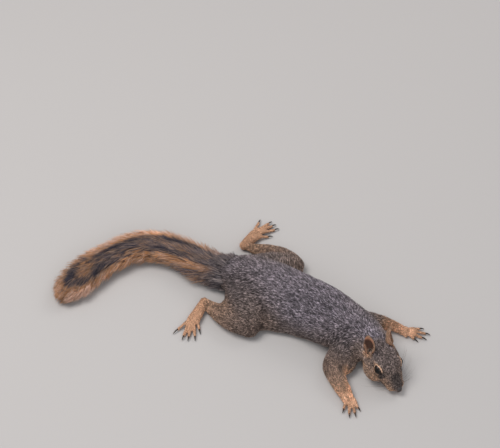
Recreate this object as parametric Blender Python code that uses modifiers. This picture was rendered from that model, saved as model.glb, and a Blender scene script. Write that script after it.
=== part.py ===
"""A fox squirrel lying flat on its belly with its legs spread, life size, as a still museum model.

The squirrel faces -Y, its left side is +X, and it rests on the floor at z = 0. The solids reach out to the
tips of the coat. The body is modelled whole, from tapered tubes that a voxel remesh melts together, and is
then parted with thin plane cuts into head, neck, trunk, tail and limbs. Eyes, ears, nose and claws are
pieces of their own, seated with the same clearance as the cuts.

Shapes are built in millimetres and turned into metres by MM. A row of a tube is
(x, y, z, half width, height above its centre, depth below it).
"""

import math

import bmesh
import bpy
from mathutils import Matrix, Vector

MM = 0.001
GAP = 0.3  # clearance between neighbouring pieces
GROUND_REACH, GROUND_DEPTH = 500.0, 60.0  # the block that cuts the belly and the feet flat at z = 0
UP = Vector((0.0, 0.0, 1.0))
TURN = 2 * math.pi
SIDES = {"left": 1, "right": -1}

# Coarse remesh for the body's large forms, fine remesh once the paws are on it.
BODY_VOXEL, BODY_SMOOTHING = 2.0, 14
SKIN_VOXEL, SKIN_SMOOTHING = 1.0, 3
WHOLE_TRIANGLES = 4350
TUBE_SIDES, RINGS_PER_ROW, BALL_FACETS = 24, 5, (20, 12)

# The head's own frame starts at the nose tip and runs back along the skull, which is turned to the
# animal's right and dips towards the floor.
NOSE_TIP = (-43.0, -131.0, 7.0)
HEAD_YAW, HEAD_DIP, HEAD_ROLL = math.radians(-29.0), math.radians(24.5), math.radians(-7.0)

TRUNK = [
    (0, 147, 13, 14, 11, 13),
    (1, 134, 15, 23, 18, 17),
    (2, 112, 19, 32, 25, 22),
    (2, 80, 21, 36, 29, 23),
    (1, 40, 22, 37, 30, 24),
    (0, 5, 22, 38, 29, 24),
    (-3, -25, 22, 35, 27, 24),
    (-5, -50, 21, 30, 25, 23),
    (-9, -70, 20, 25, 23, 21),
    (-17, -86, 21, 20, 19, 18),
]
# Head rows are (distance behind the nose tip, offset up, half width, height, depth) in the head's frame.
SKULL = [
    (1.6, 0.0, 4.2, 3.6, 4.2),
    (5, -0.8, 7.2, 6.0, 7.0),
    (11, -1.8, 11.0, 8.8, 9.5),
    (18, -2.2, 14.3, 11.4, 12.0),
    (26, -2.0, 17.2, 13.6, 14.5),
    (34, -2.0, 20.0, 15.2, 16.0),
    (43, -2.5, 22.4, 15.8, 17.5),
    (52, -4.0, 22.4, 15.4, 17.5),
    (61, -6.5, 20.0, 14.5, 16.0),
    (70, -10.0, 17.0, 13.0, 13.0),
]
LOWER_JAW = [
    (7, -7.0, 3.4, 2.5, 3.0),
    (11, -7.8, 5.0, 3.4, 3.6),
    (18, -9.0, 7.4, 5.0, 5.0),
    (30, -10.0, 11.0, 6.0, 7.0),
    (42, -10.5, 13.0, 6.0, 8.0),
]
# Lumps of the head as (behind the nose tip, beside the middle, above it) and radii along those directions.
CHEEK = ((37.0, 11.8, -9.0), (16.5, 14.2, 11.2))
WHISKER_PAD = ((9.5, 5.8, -3.0), (6.4, 5.8, 5.6))
BROW = ((33.5, 9.2, 7.6), (8.5, 5.4, 5.2))

EYE, EYE_RADIUS = (32.0, 12.6, 4.0), 6.6
NOSE_PAD, NOSE_RADII = (1.2, 0.0, 1.6), (2.0, 3.2, 2.6)
FITTING_FACETS = (12, 8)

# An ear is a cupped leaf: its half width along its height, and how far it wraps round its hollow.
EAR = {"root": (54.0, 15.2, 6.0), "height": 21.0, "half_width": 6.1, "thickness": 1.5}
EAR_WIDTHS = [0.66, 0.88, 1.0, 1.0, 0.90, 0.70, 0.36]
EAR_WRAP = [140, 112, 90, 76, 64, 54, 46]  # degrees each way
EAR_COLUMNS, EAR_TIP_ROUND = 6, 1.6
EAR_LEAN_BACK, EAR_LEAN_OUT, EAR_TURN_OUT = 38.0, 9.0, 50.0  # degrees

TAIL = [
    (0, 128, 14, 16, 11, 12.5),
    (1, 150, 13, 22, 13, 12.5),
    (-1, 176, 12, 25, 14, 12.5),
    (-2, 204, 12, 25, 14, 12.5),
    (-6, 228, 12, 24.5, 14, 12.5),
    (-17, 249, 12, 24, 13.5, 12.5),
    (-35, 264, 12, 23.5, 13.5, 12.5),
    (-56, 273, 12, 23.5, 13.5, 12.5),
    (-77, 280, 12, 25, 13, 12.5),
    (-99, 284, 12, 25.5, 12.5, 12.5),
    (-117, 286.5, 11.5, 22.5, 11.5, 12),
    (-129, 288, 10.5, 15.5, 9, 11),
]

# Loose skin of the right flank, spread on the floor from the knee to the armpit. The left one
# mirrors it about the trunk's middle.
FLANK = [
    (-45, 70, 8.5, 12, 8, 9),
    (-33, 53, 8.5, 15, 8.5, 9),
    (-26.5, 34, 8.5, 14.5, 9, 9),
    (-23, 12, 8.5, 13, 9, 9),
    (-19, -10, 8.5, 14, 9, 9),
    (-16, -32, 9, 15, 9, 9),
]
TRUNK_MIDDLE = 1.0

# Fur that closes the fold between the chest and the right foreleg, as (place, radii).
CHEST_FOLD = ((-42.0, -59.0, 8.5), (17.0, 12.0, 9.5))
# And fur that fills the corner between the rump and the right shank.
RUMP_FOLD = ((-39.5, 107.0, 9.0), (11.0, 11.0, 9.3))

FORELEGS = {
    "right": [
        (-18, -50, 22, 16, 15, 17),
        (-38, -47, 16, 15, 13, 15),
        (-55, -48, 12.5, 14, 10.5, 13),
        (-66.5, -59, 9.8, 11.5, 8.6, 10.6),
        (-74.6, -70.7, 8, 10.0, 7.0, 8.8),
        (-81.0, -80.3, 6.6, 8.2, 5.4, 7.0),
        (-84.8, -85.0, 5.3, 7.7, 4.2, 5.6),
    ],
    "left": [
        (14, -48, 22, 16, 15, 17),
        (24, -53, 17, 12.5, 11.5, 13.5),
        (32, -61, 12.5, 10.0, 9.0, 11.5),
        (37, -70, 9.5, 8.0, 7.4, 9.4),
        (39.5, -79, 7.6, 6.2, 6.0, 7.8),
        (40.3, -87, 6.2, 5.8, 4.8, 6.4),
        (41.7, -91.4, 5.2, 6.3, 4.1, 5.6),
    ],
}
# The right thigh and shank; the left ones mirror them and lie a little further back.
THIGH = [
    (-12, 106, 20, 22, 20, 20),
    (-32, 88, 18, 24, 19, 19.5),
    (-49, 74, 14, 19, 16, 15.5),
    (-58, 68, 11, 14, 11.5, 12.5),
]
SHANK = [
    (-57, 72, 12, 14, 12, 13.2),
    (-59, 88, 11.5, 14.5, 12, 12.5),
    (-57, 107, 10, 12.5, 10, 10.8),
    (-53, 124, 8, 9.0, 7.6, 8.6),
    (-49.5, 137, 7, 5.8, 5.6, 6.6),
]
LEFT_KNEE, LEFT_SHIFT, LEFT_TURN = (58.0, 70.0), (2.0, 5.0), math.radians(-3.0)
LEFT_NARROWNESS, LEFT_FLATNESS = 0.88, 0.84  # the left leg is pressed flatter to the floor
HIND_FEET = {
    "right": [
        (-49, 138, 6.2, 5.8, 6.2, 6.6),
        (-61, 136.5, 5.6, 6.6, 5.8, 6),
        (-73, 135, 4.9, 7.8, 4.8, 5.3),
        (-79.8, 134.3, 4.4, 8.3, 4.0, 4.8),
    ],
    "left": [
        (54.5, 146.5, 6.2, 5.6, 6.0, 6.4),
        (64, 146, 5.6, 6.6, 5.8, 6),
        (75, 145, 4.9, 7.8, 4.8, 5.3),
        (80.8, 144.0, 4.4, 8.3, 4.0, 4.8),
    ],
}

# Toes as (base x, y, tip x, y, radius, claw length), from the inner toe to the outer one.
TOES = {
    "forefoot": {
        "right": [
            (-83.8, -93.6, -88.2, -102.2, 2.4, 3.8),
            (-87.0, -92.8, -97.4, -102.8, 2.5, 4.0),
            (-89.6, -90.0, -102.0, -97.6, 2.5, 4.0),
            (-91.4, -85.6, -99.9, -88.3, 2.4, 3.8),
        ],
        "left": [
            (40.2, -96.0, 38.4, -106.0, 2.4, 5.2),
            (43.0, -97.0, 45.3, -113.6, 2.5, 4.8),
            (46.4, -95.6, 53.4, -114.0, 2.5, 4.2),
            (48.0, -93.6, 56.6, -104.0, 2.4, 4.0),
        ],
    },
    "hindfoot": {
        "right": [
            (-77.0, 130.0, -87.3, 120.2, 2.5, 5.2),
            (-84.0, 130.5, -99.2, 119.1, 2.6, 4.8),
            (-87.0, 132.5, -103.9, 125.3, 2.6, 4.4),
            (-88.5, 136.0, -106.0, 131.4, 2.6, 4.4),
            (-85.5, 140.0, -101.4, 143.6, 2.5, 6.4),
        ],
        "left": [
            (78.0, 138.5, 87.0, 129.8, 2.5, 5.0),
            (85.5, 140.0, 101.8, 128.8, 2.6, 4.8),
            (88.0, 143.0, 105.6, 135.0, 2.6, 4.4),
            (88.0, 146.0, 107.0, 141.3, 2.6, 4.4),
            (84.0, 149.5, 101.7, 153.4, 2.5, 5.0),
        ],
    },
}
# The stub of a thumb on each forefoot's inner side, in the same order but with no claw.
THUMBS = [(-79.5, -90.0, -83.6, -96.6, 2.3), (37.4, -89.0, 36.2, -95.4, 2.2)]
# A toe's and a claw's rings as (share of its length, height, share of its radius): the toe arches over its
# knuckle to a pad on the floor, and the claw leaves the toe over its pad and curves down.
TOE_RINGS = [(0.0, 4.2, 1.0), (0.38, 4.5, 1.0), (0.66, 3.0, 0.92), (0.9, 2.25, 0.98)]
TOE_ROOT, TOE_SLIMNESS = 0.28, 0.80  # a toe's root runs this far back into the foot; share of its radius
TOE_SIDES, TOE_FLATNESS, PAD_DEPTH = 14, 0.94, 0.25
CLAW_RINGS = [(0.0, 2.8, 1.0), (0.35, 3.0, 0.95), (0.7, 2.2, 0.66), (1.0, 0.85, 0.22)]
CLAW_RADIUS, CLAW_NARROWNESS, CLAW_SEAT, CLAW_SIDES = 1.05, 0.8, 1.8, 6

# Cuts in turn, as (piece cut off, from which piece, centre of the cut, direction into the piece cut off, half
# width of the zone that is cut off, its depth).
CUTS = [
    ("head", "trunk", (-17.0, -80.5), (-0.446, -0.895), 26, 90),
    ("neck", "trunk", (-8.0, -66.0), (-0.3, -0.954), 25, 60),
    ("foreleg_right", "trunk", (-37.5, -46.5), (-0.925, -0.377), 45, 100),
    ("foreleg_left", "trunk", (25.0, -56.0), (0.892, -0.455), 60, 100),
    ("tail_middle", "trunk", (-3.0, 217.0), (-0.08, 1.0), 160, 120),
    ("tail_tip", "tail_middle", (-66.0, 276.5), (-1.0, 0.36), 50, 120),
    ("tail_base", "trunk", (0.5, 143.0), (0.0, 1.0), 36, 90),
    ("hindleg_right", "trunk", (-31.5, 89.0), (-0.945, 0.327), 52, 100),
    ("hindleg_left", "trunk", (33.5, 92.0), (0.945, 0.327), 55, 100),
    ("forefoot_right", "foreleg_right", (-82.5, -81.0), (-0.63, -0.78), 24, 60),
    ("forefoot_left", "foreleg_left", (40.8, -89.5), (0.15, -0.99), 24, 60),
    ("hindfoot_right", "hindleg_right", (-55.5, 136.5), (-0.81, 0.585), 45, 90),
    ("hindfoot_left", "hindleg_left", (60.0, 143.7), (0.85, 0.526), 45, 90),
]
ZONE_HEIGHT = 160.0

FUR_GREY, FUR_BUFF, FUR_RUST = (0.16, 0.13, 0.11), (0.45, 0.24, 0.11), (0.30, 0.15, 0.06)
COLOURS = {
    "head": (FUR_GREY, 0.9),
    "neck": (FUR_GREY, 0.9),
    "trunk": (FUR_GREY, 0.9),
    "tail_base": (FUR_RUST, 0.95),
    "tail_middle": (FUR_RUST, 0.95),
    "tail_tip": (FUR_RUST, 0.95),
    "foreleg": (FUR_GREY, 0.9),
    "hindleg": (FUR_GREY, 0.9),
    "forefoot": (FUR_BUFF, 0.85),
    "hindfoot": (FUR_BUFF, 0.85),
    "ear": (FUR_BUFF, 0.8),
    "eye": ((0.006, 0.005, 0.005), 0.06),
    "nose": ((0.03, 0.022, 0.02), 0.45),
    "claw": ((0.02, 0.017, 0.015), 0.35),
}


def clear_scene():
    for obj in list(bpy.data.objects):
        bpy.data.objects.remove(obj, do_unlink=True)


def new_collection(name, hidden=False):
    made = bpy.data.collections.new(name)
    made.hide_render = hidden
    bpy.context.scene.collection.children.link(made)
    return made


def new_object(name, mesh, collection):
    obj = bpy.data.objects.new(name, mesh)
    collection.objects.link(obj)
    return obj


def mesh_from(bm, name):
    """The mesh of a shape built in millimetres, with its faces turned outwards."""
    bm.normal_update()
    bmesh.ops.recalc_face_normals(bm, faces=bm.faces)
    bm.transform(Matrix.Scale(MM, 4))
    mesh = bpy.data.meshes.new(name)
    bm.to_mesh(mesh)
    bm.free()
    return mesh


def along(rows, share):
    """The row at a share from 0 to 1 of the way through the rows, on a smooth curve through them all."""
    place = share * (len(rows) - 1)
    i = min(int(place), len(rows) - 2)
    t = place - i
    before, start, end, after = (rows[min(max(j, 0), len(rows) - 1)] for j in range(i - 1, i + 3))
    return [
        0.5 * (2 * b + (c - a) * t + (2 * a - 5 * b + 4 * c - d) * t * t + (3 * b - a - 3 * c + d) * t**3)
        for a, b, c, d in zip(before, start, end, after)
    ]


def rounded_ends(rows):
    """The rows' smooth run with a dome at each end, as deep as the end's own mean radius."""
    count = (len(rows) - 1) * RINGS_PER_ROW
    run = [along(rows, i / count) for i in range(count + 1)]
    first, last = run[0], run[-1]
    starts, ends = [], []
    for angle in (75, 50, 25):
        shrink, reach = math.cos(math.radians(angle)), math.sin(math.radians(angle))
        for end, inner, domes in ((first, run[1], starts), (last, run[-2], ends)):
            out = (Vector(end[:3]) - Vector(inner[:3])).normalized()
            radius = min(end[3], (end[4] + end[5]) / 2)
            middle = Vector(end[:3]) + out * radius * reach
            domes.append([*middle, *(size * shrink for size in end[3:])])
    return starts + run + ends[::-1]


def loft(rows, sides):
    """Egg-shaped rings through the rows, whose width stays level, skinned and closed at both ends."""
    bm = bmesh.new()
    rings = []
    for i, (x, y, z, half, above, below) in enumerate(rows):
        ahead = Vector(rows[min(i + 1, len(rows) - 1)][:3]) - Vector(rows[max(i - 1, 0)][:3])
        side = ahead.cross(UP).normalized()
        top = side.cross(ahead).normalized()
        ring = []
        for k in range(sides):
            c, s = math.cos(TURN * k / sides), math.sin(TURN * k / sides)
            place = Vector((x, y, z)) + side * half * c + top * (above if s > 0 else below) * s
            ring.append(bm.verts.new(place))
        rings.append(ring)
    for one, two in zip(rings, rings[1:]):
        for k in range(sides):
            n = (k + 1) % sides
            bm.faces.new((one[k], one[n], two[n], two[k]))
    bm.faces.new(rings[0])
    bm.faces.new(rings[-1])
    return bm


def tube(name, rows, collection, sides=TUBE_SIDES):
    """A tube with rounded ends through rows in the model's frame."""
    return new_object(name, mesh_from(loft(rounded_ends(rows), sides), name), collection)


def head_frame():
    """Matrix from the head's frame (ahead, left, up from the nose tip) to the model's."""
    turn = Matrix.Rotation(HEAD_YAW - math.pi / 2, 4, "Z")
    dip = Matrix.Rotation(HEAD_DIP, 4, "Y")
    roll = Matrix.Rotation(HEAD_ROLL, 4, "X")
    return Matrix.Translation(NOSE_TIP) @ turn @ dip @ roll


HEAD = head_frame()


def head_tube(name, rows, collection):
    """A tube along the head, from rows of (behind the nose tip, offset up, half width, height, depth)."""
    placed = [(-back, 0.0, up, *sizes) for back, up, *sizes in rows]
    bm = loft(rounded_ends(placed), TUBE_SIDES)
    bm.transform(HEAD)
    return new_object(name, mesh_from(bm, name), collection)


def ball(name, frame, centre, radii, collection, *facets):
    """An ellipsoid at a place in a frame, which is the head's or the model's own."""
    bm = bmesh.new()
    segments, rings = facets or BALL_FACETS
    bmesh.ops.create_uvsphere(bm, u_segments=segments, v_segments=rings, radius=1.0)
    bm.transform(frame @ Matrix.Translation(centre) @ Matrix.Diagonal((*radii, 1.0)))
    return new_object(name, mesh_from(bm, name), collection)


def head_place(place, mirror):
    """A place in the head's frame from (behind the nose tip, beside the middle, above it)."""
    behind, beside, above = place
    return -behind, beside * mirror, above


def joined(name, pieces, collection):
    """One mesh object of all the pieces' faces, which a remesh then melts together."""
    bm = bmesh.new()
    for piece in pieces:
        bm.from_mesh(piece.data)
        bpy.data.objects.remove(piece)
    mesh = bpy.data.meshes.new(name)
    bm.to_mesh(mesh)
    bm.free()
    return new_object(name, mesh, collection)


def applied(obj):
    """The object with its modifiers worked into its mesh."""
    graph = bpy.context.evaluated_depsgraph_get()
    mesh = bpy.data.meshes.new_from_object(obj.evaluated_get(graph))
    obj.modifiers.clear()
    obj.data = mesh
    return obj


def melted(obj, voxel, smoothing):
    """The object's overlapping tubes as one skin, its creases eased."""
    remesh = obj.modifiers.new("melt", "REMESH")
    remesh.mode = "VOXEL"
    remesh.voxel_size = voxel * MM
    smooth = obj.modifiers.new("ease", "SMOOTH")
    smooth.factor, smooth.iterations = 0.5, smoothing
    return applied(obj)


def combined(obj, other, operation):
    """The object after a Boolean with the other one, which is kept."""
    boolean = obj.modifiers.new(operation.lower(), "BOOLEAN")
    boolean.object, boolean.operation, boolean.solver = other, operation, "EXACT"
    return applied(obj)


def hind_rows(rows, side):
    """The right hind leg's rows, or the left leg's own."""
    if side == "right":
        return rows
    knee = Vector(LEFT_KNEE)
    placed = []
    for x, y, z, half_width, *heights in rows:
        point = Matrix.Rotation(LEFT_TURN, 2) @ (Vector((-x, y)) - knee) + knee + Vector(LEFT_SHIFT)
        flat = [LEFT_FLATNESS * value for value in (z, *heights)]
        placed.append((point.x, point.y, flat[0], half_width * LEFT_NARROWNESS, *flat[1:]))
    return placed


def toe_rows(base, tip, radius):
    """The rows of a toe, a little flatter than it is wide."""
    rows = []
    for share, height, size in TOE_RINGS:
        x, y = Vector(base).lerp(Vector(tip), share)
        flat = radius * TOE_FLATNESS * size
        rows.append((x, y, height, radius * size, flat, flat + PAD_DEPTH))
    return rows


def claw_rows(base, tip, length, grow=0.0):
    """The rows of a claw, whose root is sunk into the toe's tip."""
    ahead = (Vector(tip) - Vector(base)).normalized()
    start = Vector(tip) - ahead * CLAW_SEAT
    rows = []
    for share, height, size in CLAW_RINGS:
        x, y = start + ahead * (CLAW_SEAT + length) * share
        half = CLAW_RADIUS * size
        rows.append((x, y, height, half * CLAW_NARROWNESS + grow, half + grow, half + grow))
    return rows


def toes():
    """(foot, side, number from the inner toe, base, tip, radius, claw length) of each toe."""
    for foot, sides in TOES.items():
        for side, rows in sides.items():
            for number, (x, y, tip_x, tip_y, radius, length) in enumerate(rows, 1):
                root = Vector((x, y)).lerp(Vector((tip_x, tip_y)), -TOE_ROOT)
                yield foot, side, number, root, (tip_x, tip_y), radius * TOE_SLIMNESS, length


def flank_rows(side):
    """The flank's rows on one side."""
    if side == "right":
        return FLANK
    return [(2 * TRUNK_MIDDLE - x, *row) for x, *row in FLANK]


def body_forms(scratch):
    """Trunk, head, legs and tail as overlapping tubes, melted with soft creases."""
    forms = [
        tube("trunk_form", TRUNK, scratch),
        tube("tail_form", TAIL, scratch),
        ball("chest_form", Matrix.Identity(4), *CHEST_FOLD, scratch),
        ball("rump_form", Matrix.Identity(4), *RUMP_FOLD, scratch),
    ]
    for side in SIDES:
        forms.append(tube("foreleg_form", FORELEGS[side], scratch))
        forms.append(tube("thigh_form", hind_rows(THIGH, side), scratch))
        forms.append(tube("shank_form", hind_rows(SHANK, side), scratch))
        forms.append(tube("flank_form", flank_rows(side), scratch))
    forms.append(head_tube("skull_form", SKULL, scratch))
    place, radii = CHEEK
    for mirror in SIDES.values():
        forms.append(ball("cheek_form", HEAD, head_place(place, mirror), radii, scratch))
    return melted(joined("body", forms, scratch), BODY_VOXEL, BODY_SMOOTHING)


def fine_forms(scratch):
    """Muzzle, brows, feet and toes, which keep their shape through the fine remesh."""
    forms = [
        head_tube("skull_fine", SKULL[:6], scratch),
        head_tube("jaw_fine", LOWER_JAW, scratch),
    ]
    for mirror in SIDES.values():
        for place, radii in (WHISKER_PAD, BROW):
            forms.append(ball("head_fine", HEAD, head_place(place, mirror), radii, scratch))
    for side in SIDES:
        forms.append(tube("foot_fine", HIND_FEET[side], scratch))
        forms.append(tube("hand_fine", FORELEGS[side][-3:], scratch))
    for _, _, _, base, tip, radius, _ in toes():
        forms.append(tube("toe_fine", toe_rows(base, tip, radius), scratch, TOE_SIDES))
    for x, y, tip_x, tip_y, radius in THUMBS:
        rows = toe_rows((x, y), (tip_x, tip_y), radius * TOE_SLIMNESS)
        forms.append(tube("thumb_fine", rows, scratch, TOE_SIDES))
    return forms


def box(name, low, high, collection):
    """A box between two corners, in millimetres."""
    bm = bmesh.new()
    bmesh.ops.create_cube(bm, size=1.0)
    low, high = Vector(low), Vector(high)
    bm.transform(Matrix.Translation((low + high) / 2) @ Matrix.Diagonal((*(high - low), 1.0)))
    return new_object(name, mesh_from(bm, name), collection)


def whole_body(scratch):
    """The squirrel in one piece, thinned to its triangle budget and flat where it lies on the floor."""
    forms = [body_forms(scratch), *fine_forms(scratch)]
    whole = melted(joined("whole", forms, scratch), SKIN_VOXEL, SKIN_SMOOTHING)
    triangulate = whole.modifiers.new("triangles", "TRIANGULATE")
    triangulate.quad_method = "FIXED"
    whole = applied(whole)
    thin = whole.modifiers.new("thin", "DECIMATE")
    thin.ratio = WHOLE_TRIANGLES / len(whole.data.polygons)
    whole = applied(whole)
    low, high = (-GROUND_REACH, -GROUND_REACH, -GROUND_DEPTH), (GROUND_REACH, GROUND_REACH, 0.0)
    ground = box("ground", low, high, scratch)
    return combined(whole, ground, "DIFFERENCE")


def zone(name, centre, ahead, beside, depth, grow, scratch):
    """An upright box whose near face is a cut's plane, grown on all sides by the clearance."""
    ahead = Vector((*ahead, 0.0)).normalized()
    axes = Matrix((ahead, UP.cross(ahead), UP)).transposed().to_4x4()
    middle = Vector((*centre, 0.0)) + ahead * depth / 2
    size = [length + 2 * grow for length in (depth, 2 * beside, ZONE_HEIGHT)]
    bm = bmesh.new()
    bmesh.ops.create_cube(bm, size=1.0)
    bm.transform(Matrix.Translation(middle) @ axes @ Matrix.Diagonal((*size, 1.0)))
    return new_object(name, mesh_from(bm, name), scratch)


def parted(whole, squirrel, scratch):
    """{name: object}: the whole body taken apart along the cuts, each with a thin gap."""
    pieces = {"trunk": whole}
    for name, source, *place in CUTS:
        taken = new_object(name, pieces[source].data.copy(), scratch)
        pieces[name] = combined(taken, zone(name + "_zone", *place, 0.0, scratch), "INTERSECT")
        pieces[source] = combined(pieces[source], zone(name + "_gap", *place, GAP, scratch), "DIFFERENCE")
    for name, piece in pieces.items():
        piece.name = piece.data.name = name
        scratch.objects.unlink(piece)
        squirrel.objects.link(piece)
    return pieces


def ear_mesh(mirror, grow=0.0):
    """A cupped leaf standing on the head, open forwards and outwards, in the head's frame."""
    bm = bmesh.new()
    levels = len(EAR_WIDTHS)
    grid = []
    for row, (width, wrap) in enumerate(zip(EAR_WIDTHS, EAR_WRAP)):
        share = row / (levels - 1)
        half = EAR["half_width"] * width
        wrap = math.radians(wrap)
        radius = half / math.sin(min(wrap, math.pi / 2))
        line = []
        for column in range(EAR_COLUMNS + 1):
            angle = wrap * (2 * column / EAR_COLUMNS - 1)
            # x runs forwards out of the cup, y across it, z up the ear.
            forward = radius * (1 - math.cos(angle)) - radius
            lift = (1 - (2 * column / EAR_COLUMNS - 1) ** 2) * EAR_TIP_ROUND * share
            line.append(bm.verts.new((forward, radius * math.sin(angle), EAR["height"] * share + lift)))
        grid.append(line)
    for one, two in zip(grid, grid[1:]):
        for k in range(EAR_COLUMNS):
            bm.faces.new((one[k], one[k + 1], two[k + 1], two[k]))
    lean_back = Matrix.Rotation(-math.radians(EAR_LEAN_BACK), 4, "Y")
    lean_out = Matrix.Rotation(-math.radians(EAR_LEAN_OUT) * mirror, 4, "X")
    facing = Matrix.Rotation(math.radians(EAR_TURN_OUT) * mirror, 4, "Z")
    root = Matrix.Translation(head_place(EAR["root"], mirror))
    bm.transform(HEAD @ root @ lean_back @ lean_out @ facing)
    return mesh_from(bm, "ear")


def ears(head, squirrel, scratch):
    """Both ears, trimmed so that each sits on the head with the usual clearance."""
    made = []
    swollen = new_object("head_swollen", head.data.copy(), scratch)
    swell = swollen.modifiers.new("swell", "DISPLACE")
    swell.strength, swell.mid_level = GAP * MM, 0.0
    swollen = applied(swollen)
    for side, mirror in SIDES.items():
        ear = new_object("ear_" + side, ear_mesh(mirror), squirrel)
        wall = ear.modifiers.new("wall", "SOLIDIFY")
        wall.thickness, wall.offset = EAR["thickness"] * MM, 0.0
        ear = applied(ear)
        made.append(combined(ear, swollen, "DIFFERENCE"))
    return made


def eyes_and_nose(head, squirrel, scratch):
    """Eyeballs and nose pad, each sunk into the head by a seat of its own shape."""
    made = []
    fittings = [("eye_" + side, EYE, mirror, [EYE_RADIUS] * 3) for side, mirror in SIDES.items()]
    fittings.append(("nose", NOSE_PAD, 1, NOSE_RADII))
    for name, place, mirror, radii in fittings:
        centre = head_place(place, mirror)
        piece = ball(name, HEAD, centre, radii, squirrel, *FITTING_FACETS)
        seat = ball("seat", HEAD, centre, [r + GAP for r in radii], scratch, *FITTING_FACETS)
        combined(head, seat, "DIFFERENCE")
        made.append(piece)
    return made


def claws(pieces, squirrel, scratch):
    """A claw on every toe, sunk into the toe's tip."""
    made = []
    for foot, side, number, base, tip, _, length in toes():
        name = f"claw_{foot}_{side}_{number}"
        shape = loft(claw_rows(base, tip, length), CLAW_SIDES)
        made.append(new_object(name, mesh_from(shape, name), squirrel))
        shape = loft(claw_rows(base, tip, length, GAP), CLAW_SIDES)
        seat = new_object("claw_seat", mesh_from(shape, "claw_seat"), scratch)
        combined(pieces[f"{foot}_{side}"], seat, "DIFFERENCE")
    return made


def largest_body(obj):
    """Drops the crumbs that a cut can leave beside a piece, and keeps its largest body."""
    bm = bmesh.new()
    bm.from_mesh(obj.data)
    todo, bodies = set(bm.verts), []
    while todo:
        found, front = set(), [todo.pop()]
        while front:
            vert = front.pop()
            found.add(vert)
            near = {edge.other_vert(vert) for edge in vert.link_edges} & todo
            todo -= near
            front += near
        bodies.append(found)
    bodies.sort(key=len)
    bmesh.ops.delete(bm, geom=[v for body in bodies[:-1] for v in body], context="VERTS")
    bm.to_mesh(obj.data)
    bm.free()


def give_finish(obj):
    """The piece's own material, from the colour of its kind."""
    kind = max((k for k in COLOURS if obj.name.startswith(k)), key=len)
    colour, roughness = COLOURS[kind]
    material = bpy.data.materials.new(obj.name)
    material.use_nodes = True
    shader = material.node_tree.nodes["Principled BSDF"]
    shader.inputs["Base Color"].default_value = (*colour, 1.0)
    shader.inputs["Roughness"].default_value = roughness
    shader.inputs["Metallic"].default_value = 0.0
    obj.data.materials.clear()
    obj.data.materials.append(material)


def centre_on_footprint(pieces):
    """Parents all pieces to an empty that puts the middle of their box over the origin."""
    corners = [obj.matrix_world @ Vector(c) for obj in pieces for c in obj.bound_box]
    low = Vector(map(min, zip(*corners)))
    high = Vector(map(max, zip(*corners)))
    holder = new_object("squirrel_centre", None, bpy.context.scene.collection)
    holder.location = (-(low.x + high.x) / 2, -(low.y + high.y) / 2, 0.0)
    for obj in pieces:
        obj.parent = holder


def build():
    clear_scene()
    squirrel = new_collection("fox_squirrel")
    scratch = new_collection("cutters", hidden=True)
    pieces = parted(whole_body(scratch), squirrel, scratch)
    made = [
        *ears(pieces["head"], squirrel, scratch),
        *eyes_and_nose(pieces["head"], squirrel, scratch),
        *claws(pieces, squirrel, scratch),
    ]
    for piece in pieces.values():
        largest_body(piece)
    everything = [*pieces.values(), *made]
    for obj in everything:
        give_finish(obj)
    for obj in scratch.objects:
        obj.hide_render = True
        obj.display_type = "WIRE"
    bpy.context.view_layer.update()
    centre_on_footprint(everything)


build()
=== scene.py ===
"""A fox squirrel lying flat on its belly, life size, as a museum taxidermist dresses it over a carved form.

The order is that of the bench: floor, light and camera, the lie of the coat over the body form, the hide, and
on it the eyes, lids, nose, ears, claws and whiskers, and last of all the coat itself in small locks. The
squirrel faces -Y, its left side is +X, and it lies on the floor at z = 0.
"""

import math

import bmesh
import bpy
import numpy as np
from mathutils import Matrix, Vector
from mathutils.bvhtree import BVHTree


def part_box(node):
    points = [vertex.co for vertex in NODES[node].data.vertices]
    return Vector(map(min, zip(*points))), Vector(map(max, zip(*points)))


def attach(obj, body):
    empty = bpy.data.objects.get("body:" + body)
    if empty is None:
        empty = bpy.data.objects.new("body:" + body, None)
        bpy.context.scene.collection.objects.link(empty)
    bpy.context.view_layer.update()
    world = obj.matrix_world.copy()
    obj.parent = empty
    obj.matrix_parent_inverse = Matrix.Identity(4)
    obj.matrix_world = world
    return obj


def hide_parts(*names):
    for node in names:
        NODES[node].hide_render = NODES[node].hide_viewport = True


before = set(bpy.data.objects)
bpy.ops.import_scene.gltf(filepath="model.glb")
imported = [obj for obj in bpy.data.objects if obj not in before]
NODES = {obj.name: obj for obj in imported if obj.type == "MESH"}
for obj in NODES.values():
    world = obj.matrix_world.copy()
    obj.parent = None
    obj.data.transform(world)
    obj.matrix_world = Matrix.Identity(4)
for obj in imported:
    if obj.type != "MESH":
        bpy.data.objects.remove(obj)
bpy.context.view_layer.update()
MM = 0.001

# ---- Floor, light and camera -------------------------------------------------------------------------------
# A plain pale board under the animal, a broad overcast sky of soft light from above with a little more from
# its right rear, and a long lens looking down at the squirrel from its right front.

PAPER = (0.50, 0.475, 0.465)
FLOOR_SIZE, FLOOR_DROP = 6.0, 0.0004
bpy.ops.object.select_all(action="DESELECT")
bpy.ops.mesh.primitive_plane_add(size=FLOOR_SIZE, location=(0.0, 0.0, -FLOOR_DROP))
floor = bpy.context.active_object
floor.name = "studio_floor"
paper = bpy.data.materials.new("pale paper board")
paper.use_nodes = True
paper_shader = paper.node_tree.nodes["Principled BSDF"]
paper_shader.inputs["Roughness"].default_value = 0.85
paper_shader.inputs["Specular IOR Level"].default_value = 0.2
paper_shader.inputs["Base Color"].default_value = (*PAPER, 1.0)
floor.data.materials.append(paper)

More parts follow.
